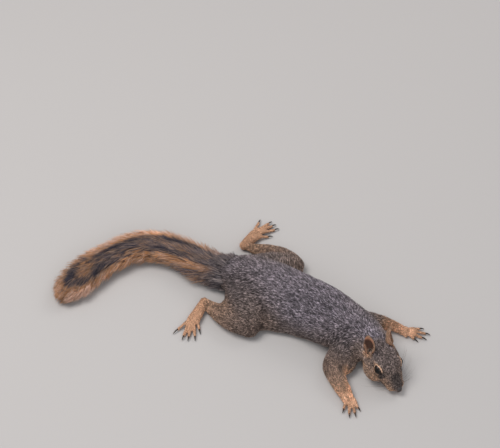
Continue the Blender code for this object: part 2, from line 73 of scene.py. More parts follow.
SKY_COLOUR, SKY_STRENGTH = (0.93, 0.96, 1.0, 1.0), 0.50
sky = bpy.data.worlds.new("overcast")
bpy.context.scene.world = sky
sky.use_nodes = True
background = sky.node_tree.nodes["Background"]
background.inputs["Color"].default_value = SKY_COLOUR
background.inputs["Strength"].default_value = SKY_STRENGTH

# Each lamp is (name, place, size, watts, colour), and all of them face the animal's middle.
LAMPS = [
    ("sky_panel", (-0.35, 0.75, 1.9), 1.3, 26.0, (1.0, 0.98, 0.95)),
    ("front_fill", (-1.3, -1.1, 1.1), 1.1, 7.0, (0.92, 0.96, 1.0)),
    ("side_fill", (1.5, -0.3, 1.2), 0.9, 5.0, (1.0, 0.97, 0.94)),
]
for lamp_name, place, size, watts, colour in LAMPS:
    lamp = bpy.data.lights.new(lamp_name, "AREA")
    lamp.shape, lamp.size, lamp.energy, lamp.color = "DISK", size, watts, colour
    lamp_object = bpy.data.objects.new(lamp_name, lamp)
    bpy.context.scene.collection.objects.link(lamp_object)
    lamp_object.location = place
    lamp_object.rotation_euler = (-Vector(place)).to_track_quat("-Z", "Y").to_euler()

# The lens looks at AIM from REACH metres away, on the side of LEVEL_VIEW and raised by ELEVATION.
AIM, REACH = Vector((0.1076, 0.0746, 0.0)), 3.0
LEVEL_VIEW, ELEVATION = Vector((-0.847, -0.531, 0.0)).normalized(), math.radians(47.45)
back = LEVEL_VIEW * math.cos(ELEVATION) + Vector((0, 0, math.sin(ELEVATION)))
lens = bpy.data.cameras.new("camera")
lens.lens, lens.sensor_width = 172.2, 36.0
lens.clip_start, lens.clip_end = 0.05, 20.0
camera = bpy.data.objects.new("camera", lens)
bpy.context.scene.collection.objects.link(camera)
camera.location = AIM + back * REACH
camera.rotation_euler = (-back).to_track_quat("-Z", "Y").to_euler()
bpy.context.scene.camera = camera
bpy.context.scene.view_settings.view_transform = "Standard"

# ---- Body form and lie of the coat -------------------------------------------------------------------------
# The coat of a squirrel lies from the nose back over the neck and rump and down each limb to the toes. The
# lines below run that way, and each carries the depth of the coat and the length and width of its locks.


def middle(node):
    """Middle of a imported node's box, in millimetres."""
    low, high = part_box(node)
    return (Vector(low) + Vector(high)) / 2 / MM


# The head has its own axes: x ahead to the nose, y to its left, z up, from a point at the tip of the nose.
EYE_SPAN_FALL = math.radians(4.46)  # the line from between the eyes to the nose falls this much below x
EYES_BEHIND_TIP, EYES_ABOVE_TIP = 32.0, 4.0
between_eyes = (middle("eye_left") + middle("eye_right")) / 2
head_left = (middle("eye_left") - middle("eye_right")).normalized()
to_nose = (middle("nose") - between_eyes).normalized()
head_up = to_nose.cross(head_left).normalized()
head_ahead = to_nose * math.cos(EYE_SPAN_FALL) + head_up * math.sin(EYE_SPAN_FALL)
head_up = head_ahead.cross(head_left)
nose_tip = between_eyes + head_ahead * EYES_BEHIND_TIP - head_up * EYES_ABOVE_TIP
HEAD = Matrix((head_ahead, head_left, head_up)).transposed().to_4x4()
HEAD.translation = nose_tip
EYE_LEVEL, EYE_BESIDE, EYE_RADIUS = EYES_ABOVE_TIP, 12.6, 6.55
SIDES = {"left": 1.0, "right": -1.0}


def on_head(behind, beside, above):
    """A place on the head, from its millimetres behind, beside and above the nose tip."""
    return HEAD @ Vector((-behind, beside, above))


KNEE, HIND_SHIFT = Vector((-44.9, -17.7, 0)), (28.2, 5.0)
HIND_TURN = Matrix.Rotation(math.radians(3.0), 3, "Z")


def on_hind_leg(side, points):
    """Places on a hind leg. The left one mirrors the right one, turned a little and set further back."""
    if side == "right":
        return [Vector(p) for p in points]
    turned_leg = [HIND_TURN @ (Vector(p) - KNEE) + KNEE for p in points]
    return [Vector((-q.x + HIND_SHIFT[0], q.y + HIND_SHIFT[1], q.z)) for q in turned_leg]


# name: (points, fixed direction or None, coat depth, lock length, lock width), each of the last three as the
# values at the two ends of the line. All in millimetres.
LINES = {
    "back": (
        [(-4, -174, 21), (4, -158, 21), (8, -138, 22), (13, -83, 22), (15, -8, 22), (14, 46, 16)],
        None, (2.8, 3.6), (5.0, 6.4), (0.50, 0.58),
    ),
    "snout": (
        [on_head(1, 0, 3), on_head(14, 0, 7), on_head(30, 0, 11), on_head(45, 0, 12)],
        None, (0.30, 1.3), (1.2, 2.5), (0.26, 0.36),
    ),
    "nape": (
        [on_head(45, 0, 12), on_head(60, 0, 8), on_head(72, 0, 2)],
        None, (1.3, 2.8), (2.6, 4.6), (0.37, 0.48),
    ),
    "throat": (
        [on_head(10, 0, -9), on_head(28, 0, -16), on_head(46, 0, -20), on_head(64, 0, -20)],
        None, (0.4, 2.4), (1.4, 4.4), (0.28, 0.46),
    ),
    "tail": (
        [(14, 46, 14), (14, 62, 13), (12, 88, 12), (11, 116, 12), (7, 140, 12), (-4, 161, 12),
         (-22, 176, 12), (-43, 185, 12), (-64, 192, 12), (-86, 196, 12), (-104, 199, 11.5),
         (-118, 200, 10.5)],
        None, (3.6, 5.0), (10.0, 26.0), (0.7, 0.8),
    ),
    "foreleg_right": (
        [(-5, -138, 22), (-25, -135, 16), (-42, -136, 12.5), (-53, -147, 9.8), (-62, -158, 8),
         (-68, -167, 6.6)],
        None, (2.8, 1.0), (4.8, 2.6), (0.48, 0.34),
    ),
    "forefoot_right": (
        [(-69, -168, 6), (-75, -176, 5), (-83, -187, 3.5), (-90, -196, 2)],
        None, (0.45, 0.05), (2.2, 1.3), (0.36, 0.28),
    ),
    "foreleg_left": (
        [(22, -136, 22), (37, -141, 17), (45, -149, 12.5), (50, -158, 9.5), (52.6, -167, 7.6),
         (53.4, -175, 6.2)],
        None, (2.8, 1.0), (4.8, 2.6), (0.48, 0.34),
    ),
    "forefoot_left": (
        [(53.6, -177, 6), (56, -184, 5), (60, -195, 3.5), (63, -207, 2)],
        None, (0.45, 0.05), (2.2, 1.3), (0.36, 0.28),
    ),
}
CHEEK = [(6, 6, -3), (20, 12, -8), (34, 18, -9), (50, 20, -10), (64, 17, -12)]
for side, beside in SIDES.items():
    cheek = [on_head(behind, out * beside, above) for behind, out, above in CHEEK]
    LINES["cheek_" + side] = (cheek, None, (0.4, 2.6), (1.3, 4.4), (0.26, 0.46))
THIGH = [(1, 18, 20), (-19, 0, 18), (-36, -14, 14), (-45, -20, 11)]
SHANK = [(-44, -16, 12), (-46, 0, 11.5), (-44, 19, 10), (-40, 36, 8), (-37, 46, 7)]
HIND_FOOT = {
    "right": [(-36, 50, 6.2), (-48, 49, 5.6), (-60, 47, 4.9), (-76, 45, 4.2), (-94, 42, 2)],
    "left": [(67.6, 58.8, 6.2), (77, 58.3, 5.6), (88, 57.3, 4.9), (100, 55, 4.2), (120, 52, 2)],
}
for side in ("right", "left"):
    outward = Vector((0.55 * SIDES[side], 0.80, -0.20))
    LINES["thigh_" + side] = (on_hind_leg(side, THIGH), outward, (3.4, 3.0), (6.0, 5.4), (0.56, 0.52))
    LINES["shank_" + side] = (on_hind_leg(side, SHANK), None, (2.6, 0.9), (5.0, 2.4), (0.50, 0.34))
    LINES["hindfoot_" + side] = (HIND_FOOT[side], None, (0.5, 0.05), (2.4, 1.4), (0.40, 0.30))

# Each toe has a line of its own, from a share of the way down the foot to its claw.
TOE_START = 0.35
for node in NODES:
    if node.startswith("claw_"):
        foot, side, number = node.split("_")[1:]
        root, claw = Vector(LINES[f"{foot}_{side}"][0][-3]), middle(node)
        toe = [root.lerp(claw, TOE_START), claw]
        LINES[f"{foot}_{side}_toe_{number}"] = (toe, None, (0.22, 0.04), (1.3, 0.9), (0.30, 0.22))

# The lines are sampled at short steps: each sample is its place, heading, values and the number of its line.
LINE_STEP = 4.0
line_names = list(LINES)
samples = []
for index, (points, fixed, *ends) in enumerate(LINES.values()):
    points = [Vector(p) for p in points]
    total = sum((b - a).length for a, b in zip(points, points[1:]))
    gone = 0.0
    for a, b in zip(points, points[1:]):
        steps = max(1, round((b - a).length / LINE_STEP))
        heading = Vector(fixed).normalized() if fixed else (b - a).normalized()
        for k in range(steps):
            share = (gone + (b - a).length * k / steps) / total
            values = [start + (end - start) * share for start, end in ends]
            samples.append((*a.lerp(b, k / steps), *heading, *values, index))
        gone += (b - a).length
samples = np.array(samples)


def smooth_step(low, high, value):
    """From 0 at the low value to 1 at the high one, without a corner at either end."""
    t = np.clip((value - low) / (high - low), 0.0, 1.0)
    return t * t * (3.0 - 2.0 * t)


BATCH = 20000  # places worked on at a time, to save memory
LINE_EASE = 9.0  # square of the distance below which all lines count alike
PRESSED, PRESSED_HEIGHTS = 0.45, (3.0, 15.0)  # share of the coat's depth left at the floor, and up to where


def near_lines(places):
    """Batch by batch: its slice, and the squared distance and the weight of every sample at its places."""
    for start in range(0, len(places), BATCH):
        part = slice(start, start + BATCH)
        apart = ((places[part, None, :] - samples[None, :, :3]) ** 2).sum(axis=2)
        weight = (apart + LINE_EASE) ** -3.0
        yield part, apart, weight / weight.sum(axis=1, keepdims=True)


def lie_of_coat(places):
    """(directions, [depth, length, width], nearest line) of the coat at places in millimetres."""
    directions = np.empty((len(places), 3))
    values = np.empty((len(places), 3))
    nearest = np.empty(len(places), int)
    for part, apart, weight in near_lines(places):
        directions[part] = weight @ samples[:, 3:6]
        values[part] = weight @ samples[:, 6:9]
        # The coat is pressed thin where it meets the floor.
        values[part, 0] *= PRESSED + (1.0 - PRESSED) * smooth_step(*PRESSED_HEIGHTS, places[part, 2])
        nearest[part] = samples[apart.argmin(axis=1), 9].astype(int)
    return directions, values, nearest


# ---- The hide ----------------------------------------------------------------------------------------------
# One tanned skin over the whole form, without a seam. It lies under the coat by the coat's own depth, thin
# over the tail's core, and is worked at the face: eye sockets, mouth line, and creases about the nose.

FLESH = ["trunk", "neck", "head", "tail_base", "tail_middle", "tail_tip"]
for side in SIDES:
    FLESH += [f"foreleg_{side}", f"forefoot_{side}", f"hindleg_{side}", f"hindfoot_{side}"]
# The form has its eyes, nose and claws in place while the hide is drawn over it.
FITTINGS = ["nose"] + sorted(node for node in NODES if node.startswith(("eye_", "claw_")))
SWELL = 0.22  # bridges the cuts between the solids
HIDE_VOXEL, HIDE_TRIANGLES = 0.50, 175000
FIRST_EASING, FINE_EASING, LAST_EASING = 16, 2, 6  # rounds of smoothing


def only(obj):
    """Makes the object the active one, with nothing else selected."""
    bpy.ops.object.select_all(action="DESELECT")
    bpy.context.view_layer.objects.active = obj
    obj.select_set(True)


def finished(obj, modifier):
    """Applies one modifier to the object."""
    only(obj)
    bpy.ops.object.modifier_apply(modifier=modifier.name)


def swelled(obj, by):
    """Moves the object's faces outwards by a few tenths of a millimetre."""
    swell = obj.modifiers.new("swell", "DISPLACE")
    swell.strength, swell.mid_level = by * MM, 0.0
    finished(obj, swell)


def linked(name, mesh):
    """A new object of the mesh, in the scene."""
    made = bpy.data.objects.new(name, mesh)
    bpy.context.scene.collection.objects.link(made)
    return made


def copy_of(name, nodes):
    """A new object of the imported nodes' own faces, their loose triangles merged."""
    bm = bmesh.new()
    for node in nodes:
        bm.from_mesh(NODES[node].data)
    bmesh.ops.remove_doubles(bm, verts=bm.verts, dist=1e-6)
    mesh = bpy.data.meshes.new(name)
    bm.to_mesh(mesh)
    bm.free()
    for polygon in mesh.polygons:
        polygon.material_index = 0
    mesh.materials.clear()
    return linked(name, mesh)


def smooth(obj):
    """Shades the object's faces as one smooth surface."""
    for polygon in obj.data.polygons:
        polygon.use_smooth = True


def points_of(mesh, key):
    """What the mesh holds under the key for each of its points, as an array of three columns."""
    flat = np.empty(len(mesh.vertices) * 3)
    mesh.vertices.foreach_get(key, flat)
    return flat.reshape(-1, 3)


def places_of(mesh):
    """The mesh's points as an array in millimetres."""
    return points_of(mesh, "co") / MM


def normals_of(mesh):
    return points_of(mesh, "normal")


def put_places(mesh, places):
    """Moves the mesh's points to places in millimetres."""
    mesh.vertices.foreach_set("co", (places * MM).ravel())
    mesh.update()


def to_head(places):
    """Places in the head's own axes, from places in millimetres of the model."""
    turn = np.array(HEAD.to_3x3())
    return (places - np.array(HEAD.translation)) @ turn


hide = copy_of("hide", FLESH + FITTINGS)
swelled(hide, SWELL)
melt = hide.modifiers.new("melt", "REMESH")
melt.mode, melt.voxel_size = "VOXEL", HIDE_VOXEL * MM
finished(hide, melt)


def eased(obj, rounds, group=""):
    """Smooths the object's mesh, all over or in one vertex group."""
    ease = obj.modifiers.new("ease", "SMOOTH")
    ease.factor, ease.iterations, ease.vertex_group = 0.5, rounds, group
    finished(obj, ease)


# Head and feet keep their small forms, and the rest is eased well and thinned later on.
HEAD_LENGTH, HEAD_HALF_WIDTH, HEAD_HALF_HEIGHT = 62.0, 26.0, 30.0
in_head = to_head(places_of(hide.data))
beside_head = (np.abs(in_head[:, 1]) >= HEAD_HALF_WIDTH) | (np.abs(in_head[:, 2]) >= HEAD_HALF_HEIGHT)
broad = beside_head | (in_head[:, 0] <= -HEAD_LENGTH)
_, _, nearest = lie_of_coat(places_of(hide.data))
broad &= ~np.isin(nearest, [i for i, name in enumerate(line_names) if "foot" in name])
broad_group = hide.vertex_groups.new(name="broad")
broad_group.add(np.flatnonzero(broad).tolist(), 1.0, "REPLACE")
eased(hide, FIRST_EASING, "broad")
eased(hide, FINE_EASING)

# The hide goes in by the coat's depth, and the tail's core keeps a share of the tail's outline.
TAIL_CORE, TAIL_THINS, THINS_FROM = 0.56, 0.35, 0.45
TAIL_STARTS, TAIL_REACH = 40.0, 34.0  # the tail lies behind this y, and within this of its own line
RUMP_TO_CORE = (4.0, 34.0)  # the stretch of the tail's line over which the rump passes into the core
tail_line = np.array([s[:3] for s in samples if line_names[int(s[9])] == "tail"])
tail_arc = np.concatenate([[0.0], np.cumsum(np.linalg.norm(np.diff(tail_line, axis=0), axis=1))])


def along_tail(places):
    """(nearest place on the tail's line, distance along it, its heading) for places in millimetres."""
    best = np.full(len(places), 1e9)
    centre, arc, heading = np.empty((len(places), 3)), np.empty(len(places)), np.empty((len(places), 3))
    for k in range(len(tail_line) - 1):
        a, b = tail_line[k], tail_line[k + 1]
        run = b - a
        t = np.clip((places - a) @ run / (run @ run), 0.0, 1.0)
        on = a + t[:, None] * run
        apart = ((places - on) ** 2).sum(axis=1)
        nearer = apart < best
        best[nearer], centre[nearer] = apart[nearer], on[nearer]
        arc[nearer] = tail_arc[k] + t[nearer] * np.linalg.norm(run)
        heading[nearer] = run / np.linalg.norm(run)
    return centre, arc, heading


outline = places_of(hide.data)
outward = normals_of(hide.data)
_, coat, _ = lie_of_coat(outline)
skin_places = outline - outward * (coat[:, :1] + SWELL)
core_centre, core_arc, _ = along_tail(outline)
is_tail = smooth_step(*RUMP_TO_CORE, core_arc) * (outline[:, 1] > TAIL_STARTS)
is_tail *= np.linalg.norm(outline - core_centre, axis=1) < TAIL_REACH
tail_end = tail_arc[-1]
core_share = TAIL_CORE * (1.0 - TAIL_THINS * smooth_step(THINS_FROM * tail_end, tail_end, core_arc))
core_places = core_centre + (outline - core_centre) * core_share[:, None]
skin_places += (core_places - skin_places) * is_tail[:, None]
put_places(hide.data, skin_places)
eased(hide, LAST_EASING, "broad")
thin = hide.modifiers.new("thin", "DECIMATE")
thin.ratio = HIDE_TRIANGLES / 2 / len(hide.data.polygons)
thin.vertex_group = "broad"
finished(hide, thin)
hide.vertex_groups.clear()

# The hide runs over the rim of each eye and dips behind the glass inside the opening of its lids. Each eye
# has its own axes: along its opening towards the nose, up across it, and outwards.
GAZE, OPENING = Vector((0.26, 0.86, 0.42)), Vector((0.98, 0.0, -0.10))
LID_LENGTH, LID_RISE, LID_FALL, LID_ROUNDNESS = 7.7, 4.2, 3.7, 1.65  # half openings, over the eye's curve
RIM_ABOVE_GLASS, HIDE_BELOW_GLASS, RIM_EDGE = 0.30, 1.0, (0.5, 1.3)
NEAR_GLASS, NEAR_EDGE = 3.5, 7.5  # how far from the glass and past the lids' edge the hide is laid anew


def eye_axes(beside):
    """The axes of the eye on one side of the head."""
    gaze = Vector((GAZE.x, GAZE.y * beside, GAZE.z)).normalized()
    along = (OPENING - gaze * OPENING.dot(gaze)).normalized()
    up = along.cross(gaze) * beside
    axes = Matrix((along, up, gaze)).transposed().to_4x4()
    axes.translation = Vector((-EYES_BEHIND_TIP, EYE_BESIDE * beside, EYE_LEVEL))
    return HEAD @ axes


def lid_reach(across, up):
    """How far over the eye's curve the opening reaches, towards (across, up) of unit length."""
    rise = np.where(np.asarray(up) > 0, LID_RISE, LID_FALL)
    power = LID_ROUNDNESS
    return ((np.abs(across) / LID_LENGTH) ** power + (np.abs(up) / rise) ** power) ** (-1 / power)


def about_eye(places, beside):
    """(distance from the eye's middle, shares along and up its opening, distance past the lids' edge)."""
    axes = np.array(eye_axes(beside))
    local = (places - axes[:3, 3]) @ axes[:3, :3]
    level = np.hypot(local[:, 0], local[:, 1]) + 1e-6
    across, up = local[:, 0] / level, local[:, 1] / level
    arc = np.arctan2(level, local[:, 2]) * EYE_RADIUS
    out = np.linalg.norm(local, axis=1)
    return np.where(local[:, 2] > -1.0, out, 99.0), across, up, arc - lid_reach(across, up)


def round_eyes(places):
    """The places with the hide laid over the eyeball's rim, and sunk behind it within the opening."""
    for beside in SIDES.values():
        centre = np.array(eye_axes(beside).translation)
        out, _, _, past_edge = about_eye(places, beside)
        over = np.maximum(out, EYE_RADIUS + RIM_ABOVE_GLASS)
        behind_glass = 1.0 - smooth_step(*RIM_EDGE, past_edge)
        wanted = over + (EYE_RADIUS - HIDE_BELOW_GLASS - over) * behind_glass
        near = (out < EYE_RADIUS + NEAR_GLASS) & (past_edge < NEAR_EDGE)
        places = np.where(near[:, None], centre + (places - centre) * (wanted / out)[:, None], places)
    return places


# The face is worked on the hide: a groove for the mouth, a cleft under the nose and a crease behind each
# nostril. Each is (places from nose tip as behind, beside and above, reach, depth), and is cut on both sides.
GROOVES = [
    ([(2.2, 0.0, -3.4), (6.0, 3.2, -6.0), (12.0, 6.2, -7.6), (17.5, 8.6, -8.4)], 1.1, 1.0),
    ([(0.6, 0.0, -0.6), (1.8, 0.0, -3.2)], 0.9, 0.6),
    ([(2.6, 3.4, 1.6), (4.6, 3.8, 0.2)], 1.0, 0.5),
]


def distance_to_run(places, run):
    """Distance of each place from a chain of straight lines, and the share of the chain passed."""
    best, share = np.full(len(places), 1e9), np.zeros(len(places))
    for k, (a, b) in enumerate(zip(run, run[1:])):
        a, b = np.array(a), np.array(b)
        t = np.clip((places - a) @ (b - a) / ((b - a) @ (b - a)), 0.0, 1.0)
        apart = np.linalg.norm(places - a - t[:, None] * (b - a), axis=1)
        nearer = apart < best
        best[nearer], share[nearer] = apart[nearer], (k + t[nearer]) / (len(run) - 1)
    return best, share


def worked_face(places, outward):
    """The hide's places with the grooves of the face pressed in, and how deep each place lies in one."""
    in_head = to_head(places)
    pressed = np.zeros(len(places))
    for run, reach, depth in GROOVES:
        for beside in SIDES.values():
            chain = [(-b, y * beside, z) for b, y, z in run]
            apart, _ = distance_to_run(in_head, chain)
            pressed = np.maximum(pressed, depth * (1.0 - smooth_step(0.0, reach, apart)))
    return places - outward * pressed[:, None], pressed


skin_places, pressed = worked_face(places_of(hide.data), normals_of(hide.data))
put_places(hide.data, round_eyes(skin_places))
smooth(hide)

# The hide is unwrapped by its own shape, and each lock of the coat finds its root's place on that unwrap.
only(hide)
bpy.ops.object.mode_set(mode="EDIT")
bpy.ops.mesh.select_all(action="SELECT")
bpy.ops.mesh.quads_convert_to_tris()
bpy.ops.uv.smart_project(angle_limit=math.radians(66), island_margin=0.002)
bpy.ops.object.mode_set(mode="OBJECT")

# Markings of a fox squirrel, the same for hide and coat: tone runs from grey (0) through brown to orange (1),
# and light is how much paler or darker than its tone a place is. First the values along the coat's lines.
# Each line has (tone, light) at its start and at its end.
LINE_MARKS = {
    "back": ((0.05, 0.05), (0.10, 0.0)), "snout": ((0.30, -0.75), (0.28, -0.05)),
    "nape": ((0.22, -0.06), (0.02, 0.36)), "throat": ((0.85, 0.1), (0.70, 0.1)),
    "cheek": ((0.62, 0.0), (0.30, 0.1)), "tail": ((0.2, 0.0), (0.5, 0.0)),
    "foreleg": ((0.12, 0.05), (0.72, 0.4)), "forefoot": ((0.95, -0.05), (1.0, -0.16)),
    "thigh": ((0.20, -0.08), (0.32, -0.08)), "shank": ((0.30, -0.08), (0.72, 0.0)),
    "hindfoot": ((0.95, -0.02), (1.0, -0.06)),
}
# Then soft marks laid over them: (on the head or not, run of places, reach, tone, light, strength), each head
# mark on both sides, its places as behind, beside and above the nose tip.
MARKS = [
    (True, [(1, 0, 3.5), (13, 0, 6.0)], 7.5, 0.30, -1.6, 0.95),
    (True, [(3, 3.5, 0), (15, 7.0, 1)], 5.0, 0.35, -0.7, 0.6),
    (True, [(44, 0, 14), (56, 0, 12)], 14.0, 0.30, -0.40, 0.55),
    (True, [(2, 0, -5), (14, 5, -10), (26, 8, -15)], 6.0, 0.90, -0.05, 0.9),
    (True, [(5, 5.5, -4.0), (16, 9.5, -7.0)], 5.0, 0.90, 0.22, 0.95),
    # A dark line at the corner of the mouth, partly painted shade under the cheek.
    (True, [(22, 13, -6), (14, 9.5, -4)], 3.0, 0.35, -0.8, 0.6),
    (True, [(26, 17, -6), (44, 19, -9)], 7.0, 0.77, 0.38, 0.8),
    (True, [(50, 16, 4), (54, 18, 1)], 5.5, 0.74, 0.40, 0.85),
    (False, [(-44, -142, 14), (-55, -152, 12)], 10.0, 0.52, 0.15, 0.55),
    (False, [(-60, -166, 10), (-67, -176, 8), (-72, -184, 6)], 9.0, 0.86, 0.50, 0.9),
    (False, [(-64, -151, 8), (-72, -164, 7), (-76, -172, 6)], 5.5, 0.86, 0.55, 0.9),
    # A dark patch in the fold inside the right foreleg, by the neck: painted shade.
    (False, [(-33, -153, 12), (-42, -146, 16)], 5.5, 0.30, -1.0, 0.7),
    (False, [(-42, -152, 11), (-50, -160, 9), (-60, -169, 8), (-68, -176, 7)], 6.5, 0.97, 0.75, 0.97),
    (False, [(-37, -154, 7), (-38, -158, 5)], 6.0, 0.97, 0.55, 0.95),
    (False, [(45, -154, 10), (51, -168, 8), (54, -182, 6)], 12.0, 0.92, 0.55, 0.95),
    # A dark patch under the left foreleg where it meets the body: painted shade.
    (False, [(34, -134, 13), (41, -140, 11)], 6.0, 0.35, -0.9, 0.8),
]
MARK_CORE = 0.35  # share of its reach in which a mark has its full strength
UNDERSIDE_TONE, UNDERSIDE_HEIGHTS = 0.72, (2.0, 7.5)
# Towards the floor the flanks brown a little and are darkened with painted shade.
FLANK_TONE, FLANK_PAINTED_SHADE, FLANK_HEIGHTS, FLANK_GREY = 0.22, 0.60, (8.0, 38.0), 1.6
# (tone, light) of the painted shade in each ear's hollow, of the pale ring round each eye
# and of its dark lines.
EAR_HOLLOW_SHADE, EYE_RING, EYE_LINE = (0.45, -1.4), (0.70, 0.34), (0.30, -1.3)
EAR_SHADE_EDGE, EYE_MARKS_REACH, RING_WIDTH, RING_WIDENS = (3.2, 5.2), 6.0, 1.9, 0.7
EAR_MOUTH = (57.0, 13.2, 7.4)  # behind, beside and above the nose tip
behind, out, above = EAR_MOUTH
ear_mouths = [np.array(on_head(behind, out * beside, above)) for beside in SIDES.values()]
line_values = []
for index, name in enumerate(line_names):
    count = int((samples[:, 9] == index).sum())
    start, end = np.array(LINE_MARKS[name.split("_")[0]])
    line_values += [start + (end - start) * k / count for k in range(count)]
line_values = np.array(line_values)


def lay_over(tone, light, mark_tone, mark_light, here):
    """Lays a mark over tone and light, as strongly as here says."""
    tone += (mark_tone - tone) * here
    light += (mark_light - light) * here


def markings(places):
    """(tone, light) of hide and coat at places in millimetres."""
    base = np.empty((len(places), 2))
    for part, _, weight in near_lines(places):
        base[part] = weight @ line_values
    tone, light = base[:, 0], base[:, 1]
    low = 1.0 - smooth_step(*UNDERSIDE_HEIGHTS, places[:, 2])
    # The flanks brown a little towards the floor and darken there with painted shade, most of all where
    # they are grey.
    flank = (1.0 - smooth_step(*FLANK_HEIGHTS, places[:, 2])) * np.clip(1.0 - FLANK_GREY * tone, 0.0, 1.0)
    tone += FLANK_TONE * flank
    light -= FLANK_PAINTED_SHADE * flank
    tone += (np.maximum(tone, UNDERSIDE_TONE) - tone) * low
    in_head = to_head(places)
    for on_head_axes, run, reach, mark_tone, mark_light, strength in MARKS:
        for beside in SIDES.values() if on_head_axes else (1.0,):
            if on_head_axes:
                apart, _ = distance_to_run(in_head, [(-b, y * beside, z) for b, y, z in run])
            else:
                apart, _ = distance_to_run(places, run)
            here = strength * (1.0 - smooth_step(MARK_CORE * reach, reach, apart))
            lay_over(tone, light, mark_tone, mark_light, here)
    # Painted shade darkens the hide about the mouth of each ear.
    for mouth in ear_mouths:
        here = 1.0 - smooth_step(*EAR_SHADE_EDGE, np.linalg.norm(places - mouth, axis=1))
        lay_over(tone, light, *EAR_HOLLOW_SHADE, here)
    # A pale ring of buff runs round each eye, widest above and behind it, with a dark line out of its front
    # corner and another under its pale lower rim.
    for beside in SIDES.values():
        out, across, up, past_edge = about_eye(places, beside)
        near = out < EYE_RADIUS + EYE_MARKS_REACH
        width = RING_WIDTH + RING_WIDENS * np.clip(up - 0.5 * across, 0.0, 1.0)
        lay_over(tone, light, *EYE_RING, near * (1.0 - smooth_step(0.55 * width, width, past_edge)))
        corner = smooth_step(0.86, 0.95, across) * (1.0 - smooth_step(1.8, 3.6, past_edge))
        under = (up < 0.3) * smooth_step(1.8, 2.4, past_edge) * (1.0 - smooth_step(2.6, 3.4, past_edge))
        for dark, strength in ((corner, 0.9), (under, 0.5)):
            lay_over(tone, light, *EYE_LINE, near * dark * strength)
    return np.clip(tone, 0.0, 1.0), np.clip(light, -1.6, 1.4)


def add_values(mesh, name, values):
    """One number for each point of the mesh, which its finish reads by name."""
    made = mesh.attributes.new(name, "FLOAT", "POINT")
    made.data.foreach_set("value", np.asarray(values, np.float32))


hide_tone, hide_light = markings(places_of(hide.data))
add_values(hide.data, "tone", hide_tone)
# The grooves of the face are darkened with painted shade.
GROOVE_SHADE = 0.8
add_values(hide.data, "light", hide_light - GROOVE_SHADE * (pressed > 0.4))

# Colours of the hairs.
SLATE, UMBER = (0.205, 0.185, 0.225), (0.270, 0.208, 0.190)
BUFF, ORANGE = (0.42, 0.265, 0.180), (0.56, 0.315, 0.195)


def socket(tree, value, target):
    """Joins a node's output to an input, or sets the input to a plain value."""
    if hasattr(value, "is_linked"):
        tree.links.new(value, target)
    else:
        target.default_value = value


def sum_node(tree, operation, *values):
    node = tree.nodes.new("ShaderNodeMath")
    node.operation = operation
    for value, target in zip(values, node.inputs):
        socket(tree, value, target)
    return node.outputs[0]


def blended(tree, kind, share, one, other):
    """The colour of two mixed, as one layer of dye over another."""
    node = tree.nodes.new("ShaderNodeMix")
    node.data_type, node.blend_type = "RGBA", kind
    socket(tree, share, node.inputs[0])
    socket(tree, one if hasattr(one, "is_linked") else (*one, 1.0), node.inputs[6])
    socket(tree, other if hasattr(other, "is_linked") else (*other, 1.0), node.inputs[7])
    return node.outputs[2]


def read_value(tree, name):
    node = tree.nodes.new("ShaderNodeAttribute")
    node.attribute_name = name
    return node.outputs["Fac"]


def ramp(tree, value, stops):
    """A colour that changes with a value, from (value, colour) stops."""
    node = tree.nodes.new("ShaderNodeValToRGB")
    socket(tree, value, node.inputs[0])
    elements = node.color_ramp.elements
    while len(elements) < len(stops):
        elements.new(0.5)
    for element, (place, colour) in zip(elements, stops):
        element.position, element.color = place, (*colour, 1.0)
    return node.outputs[0]


def speckle(tree, scale, detail=2.0, rough=0.6):
    """Fine irregular grain from place alone, as a number about one half."""
    where = tree.nodes.new("ShaderNodeTexCoord")
    grain = tree.nodes.new("ShaderNodeTexNoise")
    tree.links.new(where.outputs["Object"], grain.inputs["Vector"])
    grain.inputs["Scale"].default_value = scale
    grain.inputs["Detail"].default_value = detail
    grain.inputs["Roughness"].default_value = rough
    return grain.outputs["Fac"]


def new_finish(name, roughness, specular):
    """A material and its shader."""
    finish = bpy.data.materials.new(name)
    finish.use_nodes = True
    shader = finish.node_tree.nodes["Principled BSDF"]
    shader.inputs["Roughness"].default_value = roughness
    shader.inputs["Specular IOR Level"].default_value = specular
    return finish, finish.node_tree, shader


def grey(value):
    """A colour without a tint."""
    return (value, value, value)


def brightened(tree, colour, times):
    """The colour made so many times as bright."""
    node = tree.nodes.new("ShaderNodeVectorMath")
    node.operation = "SCALE"
    tree.links.new(colour, node.inputs[0])
    socket(tree, times, node.inputs["Scale"])
    return node.outputs[0]


FEW_PALE, PALEST, DARKEST, CALM = 2.6, 3.4, 0.24, 0.55  # how a lock's lot lightens it, and orange calms that


def hair_colour(tree, chance, along):
    """Grizzled hair: its tone from the markings, each lock lighter or darker, dark at the root."""
    tone = read_value(tree, "tone")
    colour = ramp(tree, tone, [(0.0, SLATE), (0.32, UMBER), (0.66, BUFF), (1.0, ORANGE)])
    lot = sum_node(tree, "MULTIPLY_ADD", sum_node(tree, "POWER", chance, FEW_PALE), PALEST, DARKEST)
    calm = sum_node(tree, "MULTIPLY", tone, CALM)
    lot = sum_node(tree, "ADD", sum_node(tree, "MULTIPLY", lot, sum_node(tree, "SUBTRACT", 1.0, calm)), calm)
    lift = sum_node(tree, "POWER", 2.0, read_value(tree, "light"))
    lot = sum_node(tree, "MULTIPLY", lot, lift)
    if along is not None:
        bands = [(0.0, grey(0.30)), (0.45, grey(0.70)), (0.72, grey(1.1)), (1.0, grey(0.75))]
        colour = blended(tree, "MULTIPLY", 1.0, colour, ramp(tree, along, bands))
    return brightened(tree, colour, lot)


def raised(tree, shader, height, strength, depth):
    """Lets a grain stand out of the finish by so many millimetres."""
    bump = tree.nodes.new("ShaderNodeBump")
    bump.inputs["Strength"].default_value = strength
    bump.inputs["Distance"].default_value = depth * MM
    tree.links.new(height, bump.inputs["Height"])
    tree.links.new(bump.outputs[0], shader.inputs["Normal"])


